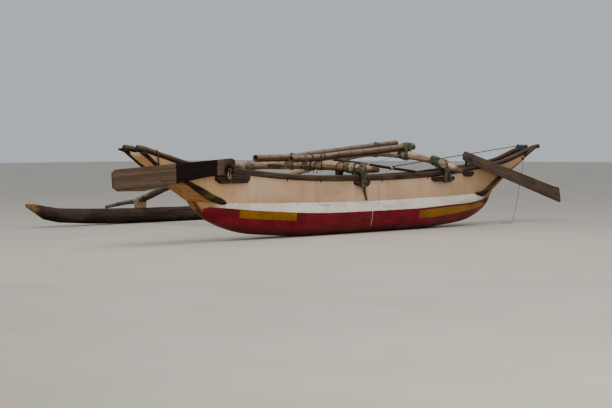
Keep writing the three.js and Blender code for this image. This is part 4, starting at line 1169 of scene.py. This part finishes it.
def winding(names, place, along, turns, radius, lift=0.0, reach=0.24, samples=26):
    """The path of a rope wound round all that the named pieces have near a place, moving along."""
    place, along = Vector(place), Vector(along).normalized()
    ends = edges_near(names, np.array(place), reach + 0.05)
    path = []
    for k in range(round(turns * samples) + 1):
        slack = 0.3 * radius * noise.noise(place * 9 + Vector((k / samples * 1.7, 0, 0)))
        centre = place + along * ((k / samples - turns / 2) * radius * 2.05 + slack)
        path.append(turn_at(ends, centre, along, radius * 0.86 + lift, reach)(k / samples % 1))
    middle = sum(path, Vector()) / len(path)
    tucked = lambda end: end + (middle - end).normalized() * radius * 2.6
    return [tucked(path[0])] + path + [tucked(path[-1])]


def rope_piece(name, paths, radius, look):
    tubes = [tube_rings(smooth_path(path, radius * 2.2), radius, 7) for path in paths]
    return mesh_piece(name, tubes, look)


on_left = lambda y, rise=0.0: (boom_left_x(y), y, between(BOOM_LEFT, y) + rise)
on_right = lambda y, rise=0.0: (boom_right_x(y), y, between(BOOM_RIGHT, y) + rise)
on_mast = lambda x: (x, MASTS["near"][0], mast_at("near", x)[0])
LEFT, RIGHT, NEAR_MAST = "left_boom_trunk", "right_boom_trunk", "mast_pole_near"
OUTER_POLES = ("outer_pole_a", "outer_pole_b")
LEFT_POLES, LEFT_BLOCK = (LEFT, *OUTER_POLES), (*OUTER_POLES, "float_blocks")
RIGHT_BLOCK, RAIL_BLOCKS = (RIGHT, "float_blocks"), ("saddles", "rail_near", "cleats")

# crossings tied with two slanting sets of turns: name, pieces, place, turns, rope radius, looks
CROSSINGS = [
    ("left_boom_near_rail", (LEFT, *RAIL_BLOCKS), (-0.215, -0.245, 0.95), 5, 0.008,
     (dark_rope, green_rope)),
    ("right_boom_near_rail", (RIGHT, *RAIL_BLOCKS), (2.02, -0.25, 0.995), 3, 0.008,
     (dark_rope, green_rope)),
    ("near_mast_left_boom", (LEFT, NEAR_MAST), on_left(0.62, 0.06), 2, 0.005,
     (green_rope, dark_rope)),
    ("near_mast_right_boom", (RIGHT, NEAR_MAST), on_right(0.60, 0.06), 4, 0.008,
     (nylon_rope, green_rope)),
    ("far_mast_left_boom", (LEFT, "mast_pole_far"), on_left(1.30, 0.06), 2, 0.006,
     (tan_rope, dark_rope)),
    ("far_mast_right_boom", (RIGHT, "mast_pole_far"), on_right(1.30, 0.06), 2, 0.005,
     (dark_rope, dark_rope)),
    ("spar_left_boom", (LEFT, "spar_pole"), on_left(0.13, 0.05), 2, 0.005, (green_rope, dark_rope)),
]
for name, names, place, turns, radius, looks in CROSSINGS:
    for k, (along, look) in enumerate(zip(((1, 1, 0), (1, -1, 0)), looks)):
        path = winding(names, place, along, turns, radius, k * radius * 1.5)
        rope_piece(f"lashing_{name}_{k + 1}", [path], radius, look)

# plain turns round one pole or several side by side, by the way they move along: name, pieces,
# place, turns, rope radius, look
TURNS = {
    (0.02, 1, 0): [
        ("left_boom_green", (LEFT,), on_left(-0.010), 4, 0.011, green_rope),
        ("left_boom_tan", (LEFT,), on_left(-0.110), 6, 0.008, cream_rope),
        ("left_boom_black", (LEFT,), on_left(-0.178), 2, 0.009, dark_rope),
        ("left_boom_dark", (LEFT,), on_left(0.930), 6, 0.009, green_rope),
        ("left_boom_strand", (LEFT,), on_left(0.800), 2, 0.007, dark_rope),
        ("left_boom_end_green", (LEFT,), on_left(-0.320), 6, 0.009, green_rope),
        ("left_boom_end_cream", (LEFT,), on_left(-0.385), 1, 0.009, cream_rope),
        ("right_boom_green", (RIGHT,), on_right(-0.090), 6, 0.011, nylon_rope),
        ("right_boom_pale", (RIGHT,), on_right(-0.185), 2, 0.010, green_rope),
        ("right_boom_cream", (RIGHT,), on_right(-0.300), 8, 0.010, cream_rope),
        ("outer_poles_first", LEFT_POLES, on_left(2.30), 5, 0.008, tan_rope),
        ("outer_poles_middle", LEFT_POLES, on_left(2.75), 5, 0.008, green_rope),
        ("outer_poles_last", LEFT_POLES, on_left(3.18), 5, 0.008, tan_rope),
        ("outer_poles_lower", OUTER_POLES, (boom_left_x(4.2), 4.2, 0.750), 4, 0.009, dark_rope),
        ("outer_poles_blue", OUTER_POLES, (boom_left_x(4.33), 4.33, 0.715), 3, 0.008, blue_rope),
        ("float_left_inner", LEFT_BLOCK, (boom_left_x(5.2), 5.165, 0.36), 3, 0.009, cream_rope),
        ("float_left_outer", LEFT_BLOCK, (boom_left_x(5.2), 5.235, 0.36), 3, 0.009, cream_rope),
        ("float_right_inner", RIGHT_BLOCK, (boom_right_x(5.2), 5.165, 0.36), 3, 0.009, tan_rope),
        ("float_right_outer", RIGHT_BLOCK, (boom_right_x(5.2), 5.235, 0.36), 3, 0.009, tan_rope)],
    (1, 0, 0): [
        ("near_mast_right_end", (NEAR_MAST,), on_mast(2.085), 4, 0.010, nylon_rope),
        ("near_mast_band", (NEAR_MAST,), on_mast(-0.22), 2, 0.006, blue_rope),
        ("near_mast_band_middle", (NEAR_MAST,), on_mast(-0.53), 2, 0.006, dark_rope),
        ("near_mast_band_left", (NEAR_MAST,), on_mast(-0.70), 3, 0.006, green_rope),
        ("right_paddle_rail", ("rail_pole_right_near",), (2.655, -0.21, 1.09), 11, 0.005,
         dark_rope),
        ("right_cleat_end", ("rail_near", "cleats"), (2.11, -0.24, 0.95), 3, 0.008, green_rope),
        ("left_strap", ("rail_pole_left_near", "strip_left_near"), (-4.70, -0.14, 1.28), 2,
         0.006, dark_rope)],
    (1, -0.23, 0): [("spar_knot", ("spar_pole",), spar_at(0.70)[:3], 3, 0.007, cream_rope)],
    (1, 0, 0.25): [
        ("far_rail_blue", ("rail_pole_right_far",), (4.84, 0.118, 1.375), 8, 0.010, blue_rope)],
    (1, 0, 0.4): [("line_knot", ("strip_right_tip",), (4.545, -0.184, 1.19), 3, 0.006, tan_rope)],
}
for along, rows in TURNS.items():
    for name, names, place, turns, radius, look in rows:
        rope_piece("turns_" + name, [winding(names, place, along, turns, radius)], radius, look)

# the stiff cut ends of the lashings on the left boom and on its outer poles
rope_piece("ends_left_boom", [[on_left(y, -0.05), on_left(y, -0.10), on_left(y + 0.008, -0.145)]
                              for y in (0.91, 0.79, 0.71)], 0.006, dark_rope)
for name, look, places in (("dark", dark_rope, (4.20, 4.30, 4.37)), ("blue", blue_rope, (4.17,))):
    rope_piece("ends_outer_poles_" + name, [[(boom_left_x(y) + shift, y, z) for shift, z in (
        (-0.03, 0.71), (-0.025, 0.665), (-0.034, 0.62))] for y in places], 0.008, look)

# the twisted ends of the lashing on the near rail, pulled down over the cleat and laid flat on
# the washstrake
TAIL = [(-0.262, -0.318, 0.865), (-0.250, -0.322, 0.800), (-0.226, -0.285, 0.752),
        (-0.196, -0.264, 0.700), (-0.166, -0.259, 0.620), (-0.140, -0.262, 0.535)]
tail_length, tail_at = curve(TAIL)


def tail_strand(turn):
    """One of the twisted ends: it winds round the bundle's middle, which thins downwards."""
    path = []
    for share in np.linspace(0, 1, 30):
        spin, out = turn + 6.0 * share, 0.034 - 0.024 * share
        path.append(tail_at(share * tail_length)
                    + Vector((math.cos(spin) * out, math.sin(spin) * out * 0.45, 0)))
    return path


for name, look, places in (("green", green_rope, (0, 2, 4)), ("dark", dark_rope, (1, 3, 5))):
    rope_piece("tail_" + name, [tail_strand(place * math.pi / 3) for place in places], 0.0105, look)

# a thin taut guy from the spar to the lashing on the right boom, with a knot on the spar
GUY = (Vector(spar_at(0.22)[:3]), Vector(on_right(0.52, 0.055)))
rope_piece("guy", [[GUY[0], (GUY[0] * 2 + GUY[1]) / 3, (GUY[0] + GUY[1] * 2) / 3, GUY[1]]], 0.004,
           tan_rope)
rope_piece("guy_knot", [winding(("spar_pole",), GUY[0], (1, -0.23, 0), 3, 0.005)], 0.005, tan_rope)

# trenails through the washstrakes' edge, driven up under the rails
pegs = []
for x in (-2.02, -1.24, 0.30, 1.55):
    for side in SIDES.values():
        y, z = side * (strake_top_w(x * 1000) / 1000 - 0.002), rail_low(x * 1000) / 1000
        peg = ((x, y, z + 0.012), (x, y, z - 0.018), (x + 0.002, y, z - 0.036))
        pegs.append(tube_rings(list(map(Vector, peg)), [0.013, 0.012, 0.009], 9))
mesh_piece("rail_pegs", pegs, block_look, 50)

# Steering paddles: heavy boards that swing on a rope grommet near their inner end, their grain
# along the board. The left one has a black tarred band and a handle dark with use.
TAR_BAND, HOLE = (-4.49, -3.65), (-3.405, -0.314, 1.060)


def paddle_wood(name, lean, light, dark):
    """A board's wood, its grain leaning by an angle from X: material, place, grain and colour."""
    made, place, _ = material(name, 0.9, Specular_IOR_Level=0.1)
    along = put(place.tree, "ShaderNodeVectorRotate",
                {"Vector": place, "Angle": math.radians(lean)}, rotation_type="Y_AXIS")
    grain = use(timber, Vector=along, Fine=1.0, Checks=0.9)
    smudge = cloudy(along, 1.0, 4.0, stretch=(1.2, 4.0, 4.0))
    mottled = cloudy(along, 1.0, 4.0, 0.7, (16.0, 40.0, 40.0))
    board = layered(mixed(spread(grain["Tone"], 0.35, 0.62), dark, light),
                    (spread(smudge, 0.5, 0.68, 0.0, 0.32), shaded(dark, 0.35)),
                    (spread(mottled, 0.42, 0.7, 0.0, 0.35), shaded(light, 1.35)))
    return made, place, grain, board


def finish_paddle(made, grain, board):
    return finish_look(made, mixed(grain["Check"] * 0.85, board, rgb(16, 11, 9)), grain["Height"],
                       0.6, 0.006)


made, place, grain, board = paddle_wood("left paddle wood", 3.0, rgb(104, 85, 70), rgb(74, 58, 47))
x = axes_of(place)[0]
board = layered(board,
                (spread(x, -3.60, -3.42, 0.0, 0.7),
                 mixed(grain["Tone"], rgb(30, 21, 16), rgb(70, 52, 40))),
                # a black patch round the rope's hole: painted shade of the hole
                (spread(vector_sum("DISTANCE", place, HOLE, "Value"), 0.125, 0.075, 0.0, 0.95),
                 rgb(9, 6, 5)),
                (within(x + (cloudy(place, 12, 3) - 0.5) * 0.05, *TAR_BAND, 0.01) * 0.96,
                 mixed(grain["Tone"], rgb(5, 3, 3), rgb(30, 20, 16))))
left_board = finish_paddle(made, grain, board)
made, _, grain, board = paddle_wood("right paddle wood", -13.6, rgb(106, 88, 75), rgb(60, 48, 40))
right_board = finish_paddle(made, grain, board)
softened("paddle_board_left", ["paddle_left"], left_board, 0.008,
         body="steering_paddle_left")
softened("paddle_board_right", ["paddle_right"], right_board, 0.008,
         body="steering_paddle_right")
softened("grommets", ["grommet_left", "grommet_right"], dark_rope, 0.004)

# the bight of the left one's rope, lying on the board's face under its hole, with its points as
# shares (across, down) of its half width and its height
BIGHT = ((-0.3, 0.0), (-0.8, 0.25), (-0.95, 0.6), (-0.6, 0.95), (0.0, 1.05), (0.55, 0.9),
         (0.7, 0.5), (0.55, 0.2), (0.3, 0.0))
BIGHT_TAIL = [(-3.400, -0.326, 1.060), (-3.380, -0.328, 1.000), (-3.382, -0.324, 0.930),
              (-3.372, -0.318, 0.880)]
BIGHT_HALF_W, BIGHT_H = 0.03, 0.12
rope_piece("bight", [[(-3.408 + across * BIGHT_HALF_W, -0.3255, 1.068 - down * BIGHT_H)
                      for across, down in BIGHT]], 0.0085, tan_rope)
rope_piece("bight_tail", [BIGHT_TAIL], 0.011, dark_rope)

# Stay: a laid rope, drawn taut from the far rail's right tip over the right boom to its knot on
# the thin spar, and as thick here as the photograph shows it.
STAY_ADDED = 0.004
stay_rope = rope_material("stay rope", rgb(30, 28, 32), rgb(14, 13, 16))
stay = softened("stay", ["stay_line"], stay_rope, 0.001)
for corner in stay.data.vertices:
    corner.co += corner.normal * STAY_ADDED

# Floor and light: a plain pale floor, a broad overhead light as under haze, and an even
# surround.
floor_mesh = bpy.data.meshes.new("floor")
floor_mesh.from_pydata([(-90, -60, 0), (90, -60, 0), (90, 90, 0), (-90, 90, 0)], [], [(0, 1, 2, 3)])
floor = placed("floor", floor_mesh)
floor_look, place, _ = material("pale floor", 0.9)
finish_look(floor_look,
            mixed(spread(cloudy(place, 0.6), 0.3, 0.7), rgb(206, 196, 182), rgb(198, 188, 174)))
floor_mesh.materials.append(floor_look)

world = bpy.data.worlds.new("surround")
bpy.context.scene.world = world
world.use_nodes = True
surround = world.node_tree.nodes["Background"].inputs
surround[0].default_value, surround[1].default_value = rgb(214, 220, 228), 0.75

# lamps: where each stands, what it looks at, its size and power
LAMPS = [
    ("overhead", (-4, -3, 12), (0.5, 1.5, 0), 10, 900),
    ("front", (-12, -14, 6), (0, 0, 0.6), 8, 650),
]
for name, stand, target, size, power in LAMPS:
    lamp = placed(name, bpy.data.lights.new(name, "AREA"))
    lamp.data.shape = "SQUARE"
    lamp.data.size = size
    lamp.data.energy = power
    lamp.data.color = rgb(255, 250, 242)[:3]
    lamp.location = stand
    lamp.rotation_euler = (Vector(target) - Vector(stand)).to_track_quat("-Z", "Y").to_euler()
